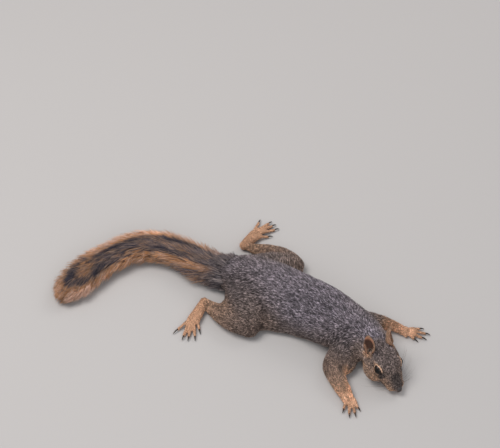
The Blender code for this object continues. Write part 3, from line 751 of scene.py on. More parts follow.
hide_finish, tree, shader = new_finish("tanned hide with its under-coat", 0.8, 0.15)
grain = speckle(tree, 850.0, 3.0, 0.7)
chance = sum_node(tree, "MAXIMUM", sum_node(tree, "MULTIPLY_ADD", grain, 2.4, -0.7), 0.0)
tree.links.new(hair_colour(tree, chance, None), shader.inputs["Base Color"])
raised(tree, shader, grain, 0.6, 0.35)
hide.data.materials.append(hide_finish)
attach(hide, "root")
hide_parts(*FLESH)

# ---- Eyes --------------------------------------------------------------------------------------------------
# Glass eyes with a clear bulged front over a dark brown iris, set in the sockets at the solids' own places.
# The black of the pupil passes into brown, which darkens again towards the edge of the glass.

CORNEA_BULGE, IRIS = 0.45, 4.4


def settled(obj, axes):
    """Places the points of a mesh made in millimetres about its own axes, its faces turned outwards."""
    bm = bmesh.new()
    bm.from_mesh(obj.data)
    bm.transform(Matrix.Scale(MM, 4) @ axes)
    bm.normal_update()
    bmesh.ops.recalc_face_normals(bm, faces=bm.faces)
    bm.to_mesh(obj.data)
    bm.free()
    smooth(obj)


def ball(name, radius):
    """A ball of many facets about the origin."""
    bpy.ops.object.select_all(action="DESELECT")
    bpy.ops.mesh.primitive_uv_sphere_add(segments=48, ring_count=32, radius=radius)
    made = bpy.context.active_object
    made.name = made.data.name = name
    return made


glass, tree, shader = new_finish("dark glass eye", 0.05, 0.2)
eye_stops = [(0.0, (0.003, 0.003, 0.004)), (0.36, (0.004, 0.004, 0.004)), (0.46, (0.022, 0.011, 0.006)),
             (0.78, (0.012, 0.007, 0.005)), (1.0, (0.006, 0.005, 0.005))]
tree.links.new(ramp(tree, read_value(tree, "from_pupil"), eye_stops), shader.inputs["Base Color"])
shader.inputs["Coat Weight"].default_value = 0.2
shader.inputs["Coat Roughness"].default_value = 0.02

for side, beside in SIDES.items():
    eye = ball("glass_eye_" + side, EYE_RADIUS)
    from_pupil = []
    for vert in eye.data.vertices:
        out = math.hypot(vert.co.x, vert.co.y)
        front = vert.co.z > 0
        if front:
            vert.co *= 1.0 + CORNEA_BULGE / EYE_RADIUS * math.exp(-((out / IRIS) ** 2))
        from_pupil.append(min(out / EYE_RADIUS, 1.0) if front else 1.0)
    add_values(eye.data, "from_pupil", from_pupil)
    settled(eye, eye_axes(beside))
    eye.data.materials.append(glass)
    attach(eye, "root")
    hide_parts("eye_" + side)

# ---- Eyelids -----------------------------------------------------------------------------------------------
# A thin fold of hide round each eye, drawn to a corner before and behind, with a bare dark margin that wets
# the eye and short buff hair beyond it. It is modelled on the eye and runs under the hide at its outer edge.

LID_STEPS = 72
# Across the lid from its inner edge: (out over the eye's curve, above the eye), outside and then back inside.
LID_PROFILE = [(-0.12, 0.04), (0.0, 0.30), (0.30, 0.50), (0.75, 0.62), (1.4, 0.66), (2.2, 0.48), (3.0, 0.05),
               (3.7, -0.9), (3.2, -1.3), (1.6, -0.7), (0.3, -0.45)]
MARGIN, CORNER_MARGIN, FRONT_CORNER = 2, 4, 0.96  # bare rows of the profile, also at the eye's front corner


def rounded(obj, levels):
    """Rounds the object off by dividing its faces so many times."""
    divide = obj.modifiers.new("round", "SUBSURF")
    divide.levels = divide.render_levels = levels
    finished(obj, divide)


lid_skin, tree, shader = new_finish("eyelid", 0.6, 0.3)
margin = read_value(tree, "margin")
soft = hair_colour(tree, sum_node(tree, "MULTIPLY_ADD", speckle(tree, 900.0), 1.2, 0.05), None)
tree.links.new(blended(tree, "MIX", margin, soft, (0.018, 0.012, 0.010)), shader.inputs["Base Color"])
raised(tree, shader, speckle(tree, 1500.0), 0.35, 0.2)

for side, beside in SIDES.items():
    bm = bmesh.new()
    rim = bm.verts.layers.float.new("margin")
    count, grid = len(LID_PROFILE), []
    for step in range(LID_STEPS):
        turn = math.tau * step / LID_STEPS
        reach = lid_reach(math.cos(turn), math.sin(turn))
        toward = Vector((math.cos(turn), math.sin(turn), 0.0))
        bare = CORNER_MARGIN if math.cos(turn) > FRONT_CORNER else MARGIN
        ring = []
        for k, (out, above) in enumerate(LID_PROFILE):
            angle = (reach + out) / EYE_RADIUS
            place = (toward * math.sin(angle) + Vector((0, 0, math.cos(angle)))) * (EYE_RADIUS + above)
            vert = bm.verts.new(place)
            vert[rim] = 1.0 if k < bare or k == count - 1 else 0.4 if k == bare else 0.0
            ring.append(vert)
        grid.append(ring)
    for step in range(LID_STEPS):
        one, two = grid[step], grid[(step + 1) % LID_STEPS]
        for k in range(count):
            bm.faces.new((one[k], one[(k + 1) % count], two[(k + 1) % count], two[k]))
    lid_mesh = bpy.data.meshes.new("eyelids_" + side)
    bm.to_mesh(lid_mesh)
    bm.free()
    lids = linked("eyelids_" + side, lid_mesh)
    settled(lids, eye_axes(beside))
    rounded(lids, 1)
    lid_tone, lid_light = markings(places_of(lids.data))
    add_values(lids.data, "tone", lid_tone)
    add_values(lids.data, "light", lid_light)
    lids.data.materials.append(lid_skin)
    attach(lids, "root")

# ---- Nose pad ----------------------------------------------------------------------------------------------
# A small bare pad of dark leathery skin, cleft down its middle, with a comma-shaped nostril on each side.

NOSE_PLACE, NOSE_HALF = Vector((-1.2, 0.0, 1.6)), Vector((2.05, 3.2, 2.6))
NOSTRIL, NOSTRIL_REACH, NOSTRIL_DEPTH = Vector((1.35, 1.55, -0.35)), 0.75, 1.0
CLEFT_TOP, CLEFT_DEPTH, CLEFT_WIDTH = 0.8, 0.45, 0.35

leather, tree, shader = new_finish("dark nose leather", 0.42, 0.5)
pebble = speckle(tree, 2600.0, 3.0, 0.6)
tree.links.new(ramp(tree, pebble, [(0.3, (0.022, 0.017, 0.017)), (0.7, (0.060, 0.045, 0.043))]),
               shader.inputs["Base Color"])
raised(tree, shader, pebble, 0.5, 0.15)

nose = ball("nose_pad", 1.0)
for vert in nose.data.vertices:
    place = Vector((vert.co.x * NOSE_HALF.x, vert.co.y * NOSE_HALF.y, vert.co.z * NOSE_HALF.z))
    for beside in SIDES.values():
        pit = Vector((NOSTRIL.x, NOSTRIL.y * beside, NOSTRIL.z))
        tail = pit + Vector((-0.5, 0.9 * beside, 0.35))
        apart = min((place - pit).length, (place - tail).length * 1.4)
        place.x -= NOSTRIL_DEPTH * math.exp(-((apart / NOSTRIL_REACH) ** 2)) * (place.x > 0)
    if place.x > 0 and place.z < CLEFT_TOP:
        place.x -= CLEFT_DEPTH * math.exp(-((place.y / CLEFT_WIDTH) ** 2))
    vert.co = place
settled(nose, HEAD @ Matrix.Translation(NOSE_PLACE))
nose.data.materials.append(leather)
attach(nose, "root")
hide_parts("nose")

# ---- Ears --------------------------------------------------------------------------------------------------
# Two upright cupped ears of thin gristle, orange-brown and bare inside with painted shade in the hollow low
# down, their rims paler. They are cast from the solids and rounded.

ear_skin, tree, shader = new_finish("thin ear skin", 0.62, 0.3)
ear_grain = speckle(tree, 1100.0, 3.0, 0.65)
ear_base = ramp(tree, ear_grain, [(0.25, (0.36, 0.155, 0.095)), (0.75, (0.66, 0.32, 0.20))])
# The low hollow of each cup is darkened to near black with painted shade.
hollow_shade = read_value(tree, "hollow_shade")
ear_base = blended(tree, "MIX", hollow_shade, ear_base, (0.020, 0.011, 0.009))
rim_share = read_value(tree, "rim")
tree.links.new(blended(tree, "MIX", rim_share, ear_base, (0.56, 0.32, 0.19)), shader.inputs["Base Color"])
raised(tree, shader, ear_grain, 0.4, 0.2)
shader.inputs["Subsurface Weight"].default_value = 0.1
shader.inputs["Subsurface Radius"].default_value = (0.002, 0.0008, 0.0005)

EAR_LEVELS = 8
# Which way each cup opens, and how strong the painted shade in its hollow is.
CUP_AHEAD, CUP_OUTWARD, CUP_PAINTED_SHADE = 0.64, 0.77, 0.88  # which way each cup opens, and how dark its hollow is
ears = {}
for side, beside in SIDES.items():
    ear = copy_of("ear_skin_" + side, ["ear_" + side])
    rounded(ear, 2)
    eased(ear, 4)
    places = places_of(ear.data)
    local = to_head(places)
    up_ear = local[:, 2] - local[:, 2].min()
    height = up_ear.max()
    # The ear's own middle line, level by level, tells its hollow front from its rim.
    levels = np.clip((up_ear / height * EAR_LEVELS).astype(int), 0, EAR_LEVELS - 1)
    rim_here = np.zeros(len(places))
    for level in range(EAR_LEVELS):
        row = levels == level
        centre = places[row].mean(axis=0)
        apart = np.linalg.norm(places[row] - centre, axis=1)
        rim_here[row] = smooth_step(0.72, 0.98, apart / apart.max())
    cup_way = HEAD.to_3x3() @ Vector((CUP_AHEAD, CUP_OUTWARD * beside, 0.0))
    inside = smooth_step(0.0, 0.5, normals_of(ear.data) @ np.array(cup_way))
    share_up = up_ear / height
    # Painted shade fills the inside of the cup below its upper part, away from the rim.
    hollow_shade_here = inside * (1.0 - smooth_step(0.56, 0.84, share_up)) * (1.0 - smooth_step(0.1, 0.8, rim_here))
    rim_here = np.maximum(rim_here, smooth_step(0.88, 0.98, share_up)) * smooth_step(0.1, 0.3, share_up)
    rim_here = np.maximum(rim_here * 0.8, (1.0 - inside) * 0.25)
    ear_hair = np.maximum(1.0 - inside, smooth_step(0.45, 0.8, rim_here))
    add_values(ear.data, "hollow_shade", hollow_shade_here * CUP_PAINTED_SHADE)
    add_values(ear.data, "rim", rim_here)
    smooth(ear)
    ear.data.materials.append(ear_skin)
    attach(ear, "root")
    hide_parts("ear_" + side)
    ears[side] = (ear, ear_hair)

# ---- Claws -------------------------------------------------------------------------------------------------
# A narrow hooked claw of near-black horn, faintly streaked with brown, on every toe. They are cast from the
# solids, thickened a little and rounded.

horn, tree, shader = new_finish("black claw horn", 0.38, 0.3)
streak = speckle(tree, 1400.0, 2.0, 0.5)
tree.links.new(ramp(tree, streak, [(0.3, (0.012, 0.010, 0.009)), (0.75, (0.045, 0.034, 0.028))]),
               shader.inputs["Base Color"])
raised(tree, shader, streak, 0.2, 0.1)

CLAW_SWELL = 0.16  # makes up for what the rounding takes off
for node in sorted(name for name in NODES if name.startswith("claw_")):
    claw = copy_of(node.replace("claw", "claw_horn", 1), [node])
    swelled(claw, CLAW_SWELL)
    rounded(claw, 2)
    smooth(claw)
    claw.data.materials.append(horn)
    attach(claw, "root")
    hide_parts(node)

# ---- Whiskers ----------------------------------------------------------------------------------------------
# Stiff dark hairs with pale ends, set in rows in the pad beside the nose, with a few above each eye. Like
# every hair and lock here, each is a solid with a three-cornered section that runs out to a point.

LOCK_FLAT, LOCK_ROOT = 0.42, 0.7  # height of a lock's ridge and width of its root, as shares of its width
LOCK_TAPER, LOCK_WIDEST = 0.35, 0.3  # how a long lock narrows past its widest place
LEAST_HEIGHT = 0.25  # no lock goes closer to the floor than this
PATCH = 0.003  # how much of the unwrap a lock takes


def lock_mesh(name, rows, across, widths, root_uv, values):
    """An object of closed locks. rows are the places of their root, middles and tip, across their sideways
    directions, widths one number each, root_uv their place on the hide's unwrap, and values a dictionary of
    numbers for each lock, or for each lock and row."""
    count, middles = len(widths), len(rows) - 2
    points, shares, sideways = [], [], []
    for k, row in enumerate(rows):
        ahead = rows[min(k + 1, len(rows) - 1)] - rows[max(k - 1, 0)]
        up = np.cross(ahead, across)
        up /= np.linalg.norm(up, axis=1, keepdims=True) + 1e-9
        half = (across * widths[:, None]) / 2
        share = k / (len(rows) - 1)
        if k == 0:
            half = half * LOCK_ROOT
            points += [row + half, row - half]
            sideways += [0.5, -0.5]
        elif k < len(rows) - 1:
            half = half * (1.0 - LOCK_TAPER * (share - LOCK_WIDEST) * (middles > 1))
            points += [row + half, row - half, row + up * widths[:, None] * LOCK_FLAT]
            sideways += [0.5, -0.5, 0.0]
        else:
            points.append(row)
            sideways.append(0.0)
        shares += [share] * (2 if k == 0 else 3 if k < len(rows) - 1 else 1)
    corners = [(0, 1, 4), (0, 4, 2), (1, 3, 4), (0, 2, 3), (0, 3, 1)]
    for k in range(1, middles):
        a, b = 3 * k - 1, 3 * k + 2
        corners += [(a, a + 2, b + 2), (a, b + 2, b), (a + 2, a + 1, b + 1), (a + 2, b + 1, b + 2),
                    (a + 1, a, b), (a + 1, b, b + 1)]
    a, tip = 3 * middles - 1, 3 * middles + 2
    corners += [(a, a + 2, tip), (a + 2, a + 1, tip), (a + 1, a, tip)]
    each = tip + 1
    places = np.stack(points, axis=1).reshape(-1, 3)
    places[:, 2] = np.maximum(places[:, 2], LEAST_HEIGHT)
    faces = (np.arange(count)[:, None, None] * each + np.array(corners)[None]).reshape(-1, 3)
    mesh = bpy.data.meshes.new(name)
    mesh.vertices.add(len(places))
    mesh.vertices.foreach_set("co", (places * MM).ravel())
    mesh.loops.add(faces.size)
    mesh.loops.foreach_set("vertex_index", faces.ravel())
    mesh.polygons.add(len(faces))
    mesh.polygons.foreach_set("loop_start", np.arange(len(faces)) * 3)
    mesh.polygons.foreach_set("use_smooth", np.ones(len(faces), bool))
    mesh.update(calc_edges=True)
    uv = np.repeat(root_uv, each, axis=0)
    uv[:, 0] += np.tile(sideways, count) * PATCH
    uv[:, 1] += (np.tile(shares, count) - 0.5) * PATCH
    layer = mesh.uv_layers.new(name="OFBake")
    layer.data.foreach_set("uv", uv[faces.ravel()].ravel())
    add_values(mesh, "along", np.tile(shares, count))
    rows_of_points = [0, 0] + [k for k in range(1, middles + 1) for _ in range(3)] + [middles + 1]
    for key, given in values.items():
        given = np.asarray(given)
        spread = given[:, rows_of_points] if given.ndim == 2 else np.repeat(given[:, None], each, axis=1)
        add_values(mesh, key, spread.ravel())
    return linked(name, mesh)


hide_shape = BVHTree.FromPolygons(
    [v.co / MM for v in hide.data.vertices], [tuple(p.vertices) for p in hide.data.polygons])
hide_uv = np.empty(len(hide.data.loops) * 2)
hide.data.uv_layers.active.data.foreach_get("uv", hide_uv)
hide_uv = hide_uv.reshape(-1, 3, 2)


def place_on_unwrap(places):
    """The place on the hide's unwrap of the point of the hide nearest to each place."""
    return np.array([hide_uv[hide_shape.find_nearest(Vector(p))[2]].mean(axis=0) for p in places])


# Where each row begins, behind, beside and above the nose tip, and where the single ones stand on the brow.
WHISKER_ROWS = [(7.0, 5.2, -1.2), (8.5, 6.2, -2.6), (10.5, 7.0, -4.0)]
BROW_WHISKERS = [(27.0, 12.5, 11.5), (30.0, 12.8, 12.2)]
WHISKERS_A_ROW, WHISKER_GAP, WHISKER_LENGTHS, BROW_LENGTH = 4, 2.1, (24.0, 38.0), 0.75
WHISKER_WIDTH, WHISKER_BENDS, WHISKER_SINK, WHISKER_DROOP = 0.26, 7, 0.6, 0.36
dice = np.random.default_rng(11)
shortest, longest = WHISKER_LENGTHS
roots, aims, lengths = [], [], []
for beside in SIDES.values():
    for row, (behind, out, above) in enumerate(WHISKER_ROWS):
        for k in range(WHISKERS_A_ROW):
            roots.append(on_head(behind + k * WHISKER_GAP, (out + 0.7 * k) * beside, above - 0.15 * k))
            aim = HEAD.to_3x3() @ Vector((0.25 - 0.28 * k, 0.95 * beside, 0.36 - 0.24 * row))
            aims.append(aim.normalized())
            lengths.append(shortest + (longest - shortest) * k / (WHISKERS_A_ROW - 1))
    for behind, out, above in BROW_WHISKERS:
        roots.append(on_head(behind, out * beside, above))
        aims.append((HEAD.to_3x3() @ Vector((-0.3, 0.55 * beside, 0.75))).normalized())
        lengths.append(shortest * BROW_LENGTH)
roots, aims = np.array(roots), np.array(aims) + dice.normal(0.0, 0.05, (len(aims), 3))
lengths = np.array(lengths) * dice.uniform(0.85, 1.1, len(lengths))
droop = np.array(HEAD.to_3x3() @ Vector((-1.0, 0.0, -0.15)))
rows = []
for k in range(WHISKER_BENDS):
    share = k / (WHISKER_BENDS - 1)
    step = aims * (lengths * share)[:, None] + droop * (lengths * WHISKER_DROOP * share**2)[:, None]
    rows.append(roots - aims * WHISKER_SINK + step)
across = np.cross(aims, droop)
across /= np.linalg.norm(across, axis=1, keepdims=True)
widths = np.full(len(roots), WHISKER_WIDTH)
whiskers = lock_mesh("whiskers", rows, across, widths, place_on_unwrap(roots), {})
whisker_finish, tree, shader = new_finish("whisker", 0.4, 0.4)
whisker_stops = [(0.0, (0.03, 0.022, 0.018)), (0.35, (0.10, 0.075, 0.06)), (1.0, (0.42, 0.36, 0.32))]
tree.links.new(ramp(tree, read_value(tree, "along"), whisker_stops), shader.inputs["Base Color"])
whiskers.data.materials.append(whisker_finish)
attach(whiskers, "root")

# ---- Coat of the body --------------------------------------------------------------------------------------
# Guard hairs in fine tapered locks, rooted in the hide and lying along it from nose to tail: longest on the
# back and thighs, a close nap on the face, and hardly more than a bloom on the feet.


def surface(obj):
    """Everything that locks need of a hairy surface, as arrays by triangle or by point."""
    mesh = obj.data
    mesh.calc_loop_triangles()
    corners = np.empty(len(mesh.loop_triangles) * 3, int)
    mesh.loop_triangles.foreach_get("vertices", corners)
    corners = corners.reshape(-1, 3)
    places, outward = places_of(mesh), normals_of(mesh)
    headings, values, nearest = lie_of_coat(places)
    tone, light = markings(places)
    a, b, c = (places[corners[:, k]] for k in range(3))
    return {
        "corners": corners, "places": places, "outward": outward, "headings": headings, "values": values,
        "tone": tone, "light": light, "line": nearest[corners[:, 0]], "middle": (a + b + c) / 3,
        "area": np.linalg.norm(np.cross(b - a, c - a), axis=1) / 2,
    }


def rooted(on, chosen, count, draw):
    """Roots drawn over the chosen triangles, closer where locks are small, with their places' values."""
    lengths, widths = on["values"][on["corners"][:, 0], 1], on["values"][on["corners"][:, 0], 2]
    weight = on["area"] / (lengths * widths) * chosen
    faces = draw.choice(len(weight), size=count, p=weight / weight.sum())
    u, v = draw.random((2, count))
    over = u + v > 1.0
    u[over], v[over] = 1.0 - u[over], 1.0 - v[over]
    share = np.stack([1.0 - u - v, u, v], axis=1)
    corners = on["corners"][faces]

    def taken(key):
        values = on[key][corners]
        return (values * share.reshape(share.shape + (1,) * (values.ndim - 2))).sum(axis=1)

    found = {key: taken(key) for key in ("places", "outward", "headings", "values", "tone", "light")}
    found["outward"] /= np.linalg.norm(found["outward"], axis=1, keepdims=True)
    found["face"], found["share"] = faces, share
    return found


def waves(places, size):
    """Smooth irregular numbers about zero that drift over a few of the given size."""
    x, y, z = (places / size).T
    one = np.sin(x + 1.7 * np.sin(0.8 * y + 0.3 * z))
    other = np.sin(1.3 * y + 1.4 * np.sin(0.9 * x - 0.4 * z))
    return (one + other) / 2


def cell_lots(places, size):
    """A lot between 0 and 1 for each place, the same all over each small cell, as hair tips bunch."""
    cells = np.floor(places / size + 0.35 * waves(places, 2.0 * size)[:, None])
    return np.abs(np.sin(cells @ np.array((12.9898, 78.233, 37.719))) * 43758.5453) % 1.0


def turned(vectors, axes, angles):
    """Vectors turned about unit axes."""
    c, s = np.cos(angles)[:, None], np.sin(angles)[:, None]
    along_axis = axes * (axes * vectors).sum(axis=1, keepdims=True)
    return vectors * c + np.cross(axes, vectors) * s + along_axis * (1 - c)


LOCK_SINK = 0.35  # how deep the locks' roots are set in the hide
LOCK_LENGTHS, LOCK_RISES, LOCK_WIDTHS = (0.7, 1.2), (0.55, 1.15), (0.75, 1.25)  # shares of the line's values
BEND_AHEAD, BEND_UP = 0.45, 0.72  # where a lock's bend is, as shares of its length and rise
TIP_CELL, TIP_CELL_SHARE = 1.3, 0.60  # size of the bunches in which locks share their lightness, and how much


def laid_locks(name, found, uv, draw, spread, contrast=1.0):
    """Locks that leave the hide at a low angle and lie back over it as deep as the coat is there."""
    count = len(found["places"])
    up, heading = found["outward"], found["headings"]
    depth, length, width = found["values"].T
    heading = heading - up * (heading * up).sum(axis=1, keepdims=True)
    heading /= np.linalg.norm(heading, axis=1, keepdims=True) + 1e-9
    swing = np.radians(spread) * draw.normal(size=count) + 0.22 * waves(found["places"], 6.0)
    heading = turned(heading, up, swing)
    across = np.cross(up, heading)
    length = length * draw.uniform(*LOCK_LENGTHS, count)
    rise = depth * draw.uniform(*LOCK_RISES, count) * (1.0 + 0.15 * waves(found["places"], 4.0))
    root = found["places"] - up * LOCK_SINK
    bend = found["places"] + heading * (length * BEND_AHEAD)[:, None] + up * (rise * BEND_UP)[:, None]
    tip = found["places"] + heading * length[:, None] + up * rise[:, None]
    own = draw.random(count) * (1.0 - TIP_CELL_SHARE)
    lots = np.stack([TIP_CELL_SHARE * cell_lots(row, TIP_CELL) + own for row in (root, bend, tip)], axis=1)
    lots = 0.5 + 1.6 * (lots - 0.5) * contrast
    values = {"tone": found["tone"], "light": found["light"] + 0.07 * waves(found["places"], 5.0),
              "chance": np.clip(lots, 0.0, 1.0)}
    width = width * draw.uniform(*LOCK_WIDTHS, count)
    return lock_mesh(name, [root, bend, tip], across, width, uv, values)


def hide_places_on_unwrap(found):
    """The places of roots on the hide's unwrap."""
    return (hide_uv[found["face"]] * found["share"][:, :, None]).sum(axis=1)


hair_finish, tree, shader = new_finish("grizzled guard hair", 0.62, 0.28)
tree.links.new(hair_colour(tree, read_value(tree, "chance"), read_value(tree, "along")),
               shader.inputs["Base Color"])

hide_surface = surface(hide)
kind_of_face = np.array([name.split("_")[0] for name in line_names])[hide_surface["line"]]
left = np.array(["left" in name for name in line_names])[hide_surface["line"]]
middle_of_face = hide_surface["middle"]

# No lock grows on the eyelids, on the nose pad or in the mouth of an ear.
LID_FREE, LIDS_DEEP, NOSE_FREE, EAR_FREE = 1.5, 2.0, 1.8, 4.8
in_head = to_head(middle_of_face)
eye_free = in_head[:, 0] < -NOSE_FREE
for beside in SIDES.values():
    out, _, _, past_edge = about_eye(middle_of_face, beside)
    eye_free &= ~((out < EYE_RADIUS + LIDS_DEEP) & (past_edge < LID_FREE))
ear_free = np.ones(len(middle_of_face), bool)
for mouth in ear_mouths:
    ear_free &= np.linalg.norm(middle_of_face - mouth, axis=1) > EAR_FREE

# The belly is low and faces the floor, the back's coat is made in two pieces, and the face ends at the crown.
BELLY_HEIGHT, BELLY_LEAN, BACK_SPLIT, FACE_LENGTH = 6.0, -0.5, -55.0, 46.0
lean = hide_surface["outward"][hide_surface["corners"][:, 0], 2]
on_belly = (middle_of_face[:, 2] < BELLY_HEIGHT) & (lean < BELLY_LEAN)
before = middle_of_face[:, 1] < BACK_SPLIT
is_head = np.isin(kind_of_face, ["snout", "cheek", "throat", "nape"])
is_face = is_head & (in_head[:, 0] > -FACE_LENGTH)
is_back = (kind_of_face == "back") & ~on_belly
is_foreleg = (kind_of_face == "foreleg") & ~on_belly
is_hindleg = np.isin(kind_of_face, ["thigh", "shank"]) & ~on_belly

# name: (triangles it grows on, locks, spread of the locks' headings in degrees)
COATS = {
    "coat_back_front": (is_back & before, 17000, 11.0),
    "coat_back_rear": (is_back & ~before, 19000, 11.0),
    "coat_belly": (on_belly & ~is_head, 5000, 12.0),
    "coat_face": (is_face & eye_free & ear_free, 24000, 8.0),
    "coat_nape": (is_head & ~is_face & ear_free, 11000, 10.0),
    "coat_foreleg_right": (is_foreleg & ~left, 8500, 10.0),
    "coat_foreleg_left": (is_foreleg & left, 6500, 10.0),
    "coat_hindleg_right": (is_hindleg & ~left, 13000, 11.0),
    "coat_hindleg_left": (is_hindleg & left, 13000, 11.0),
    "coat_forefeet": (kind_of_face == "forefoot", 6000, 9.0),
    "coat_hindfeet": (kind_of_face == "hindfoot", 8000, 9.0),
}
for number, (name, (chosen, count, spread)) in enumerate(COATS.items()):
    draw = np.random.default_rng(100 + number)
    found = rooted(hide_surface, chosen, count, draw)
    coat_piece = laid_locks(name, found, hide_places_on_unwrap(found), draw, spread)
    coat_piece.data.materials.append(hair_finish)
    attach(coat_piece, "root")
    "fur_paws" if "feet" in name else "fur_body"

# ---- Coat of the tail --------------------------------------------------------------------------------------
# Long banded hair in thin locks, parted to both sides of the tail's core and swept back, so that the tail is
# a flat brush: black and tawny down the middle, dark before the edge, and orange along the edges and the tip.

# Distance along the tail, then half width, and height above and depth below its line, of the brush there.
BRUSH = [(-10, 15, 10, 12), (0, 17, 11, 12.5), (16, 22, 13, 12), (42, 25, 14, 11.8), (118, 24.3, 13.8, 11.8),
         (164, 23.8, 13.5, 11.8), (209, 25.8, 12.8, 11.8), (227, 23.5, 11.5, 11.3), (239, 18.5, 9.5, 10.3),
         (248, 13.5, 7, 8.8), (254, 8, 4.5, 7)]
BRUSH_END = 254.0
TAIL_HAIR, TAIL_HAIR_WIDTH, TAIL_SINK = (17.0, 27.0), 0.62, 0.4
CLUMP, CLUMP_TURN, CLUMPS = 9.0, 0.33, 2048  # a clump's length along the tail, its turn about it, their lots
LAYERS, LAYER_SHARES = [1.0, 0.8, 0.55], [0.62, 0.23, 0.15]  # how far out locks end, and how many do so
RUMP_WIDENS, LONGEST_REACH = 0.38, 1.17  # extra reach on the inner side at the rump, and the most a lock has
TAIL_WIDTHS, OUTER_COLOUR = (0.7, 1.25), 0.45  # how widths vary, and how much of the outer tone a lock has
# Tone across the tail, from the outer side (-1) to the inner one (1), along most of it and round its tip.
ALONG_TONE = [(-1.4, 0.98), (-0.74, 0.95), (-0.56, 0.82), (-0.46, 0.38), (-0.36, 0.14), (-0.14, 0.30),
              (0.1, 0.36), (0.4, 0.26), (0.60, 0.26), (0.70, 0.62), (0.78, 0.82), (0.90, 0.82), (1.0, 0.60),
              (1.1, 0.42), (1.4, 0.36)]
TIP_TONE = [(0.0, 0.56), (0.30, 0.50), (0.44, 0.18), (0.60, 0.10), (0.72, 0.40), (0.82, 0.78), (1.2, 0.86)]
TIP_MIDDLE, TIP_LENGTH, INTO_TIP = 198.0, 52.0, (172.0, 212.0)
# Below the edge the inner side turns brown, partly as painted shade under the tail.
UNDER_SHADE_TONE, FAR_UNDER_TONE, LOWEST_TONE = 0.48, 0.20, 0.72  # below the edge, added far out, at the floor


def brush_at(arc):
    """(centre, sideways direction, half width, height, depth) of the brush at distances along the tail."""
    centre = np.stack([np.interp(arc, tail_arc, tail_line[:, k]) for k in range(3)], axis=1)
    first, last = tail_line[1] - tail_line[0], tail_line[-1] - tail_line[-2]
    for past, end in ((np.minimum(arc, 0.0), first), (np.maximum(arc - tail_end, 0.0), last)):
        centre += past[:, None] * end / np.linalg.norm(end)
    steps = np.gradient(tail_line, axis=0)
    heading = np.stack([np.interp(arc, tail_arc, steps[:, k]) for k in range(3)], axis=1)
    heading /= np.linalg.norm(heading, axis=1, keepdims=True)
    sideways = np.stack([-heading[:, 1], heading[:, 0], np.zeros(len(arc))], axis=1)
    shape = np.array(BRUSH)
    return centre, sideways, *(np.interp(arc, shape[:, 0], shape[:, k]) for k in (1, 2, 3))


def tail_tone(arc, across, above):
    """The tail's tone at a distance along it, and shares of its half width across and its height above."""
    table, tip = np.array(ALONG_TONE), np.array(TIP_TONE)
    # Near the body the orange line along the inner side lies higher, over a dark brown edge.
    # Further out the pale edge of its outer side is wider.
    shifted = across + 0.16 * smooth_step(0.2, 0.45, across) * (1.0 - smooth_step(45.0, 125.0, arc))
    shifted -= 0.20 * smooth_step(0.0, 0.3, -across) * smooth_step(95.0, 150.0, arc)
    tone = np.interp(shifted, table[:, 0], table[:, 1])
    round_tip = np.hypot(across, np.maximum(arc - TIP_MIDDLE, 0.0) / TIP_LENGTH)
    at_tip = np.interp(round_tip, tip[:, 0], tip[:, 1]) + 0.25 * smooth_step(0.35, 0.7, across)
    tone += (at_tip - tone) * smooth_step(*INTO_TIP, arc)
    # Below its line the inner side takes a brown that is partly painted shade under the tail, paler far out.
    under = UNDER_SHADE_TONE + FAR_UNDER_TONE * smooth_step(60.0, 130.0, arc)
    tone += (under - tone) * smooth_step(0.15, 0.50, -above) * (across > 0.0)
    tone += (LOWEST_TONE - tone) * smooth_step(0.62, 0.90, -above)
    return tone


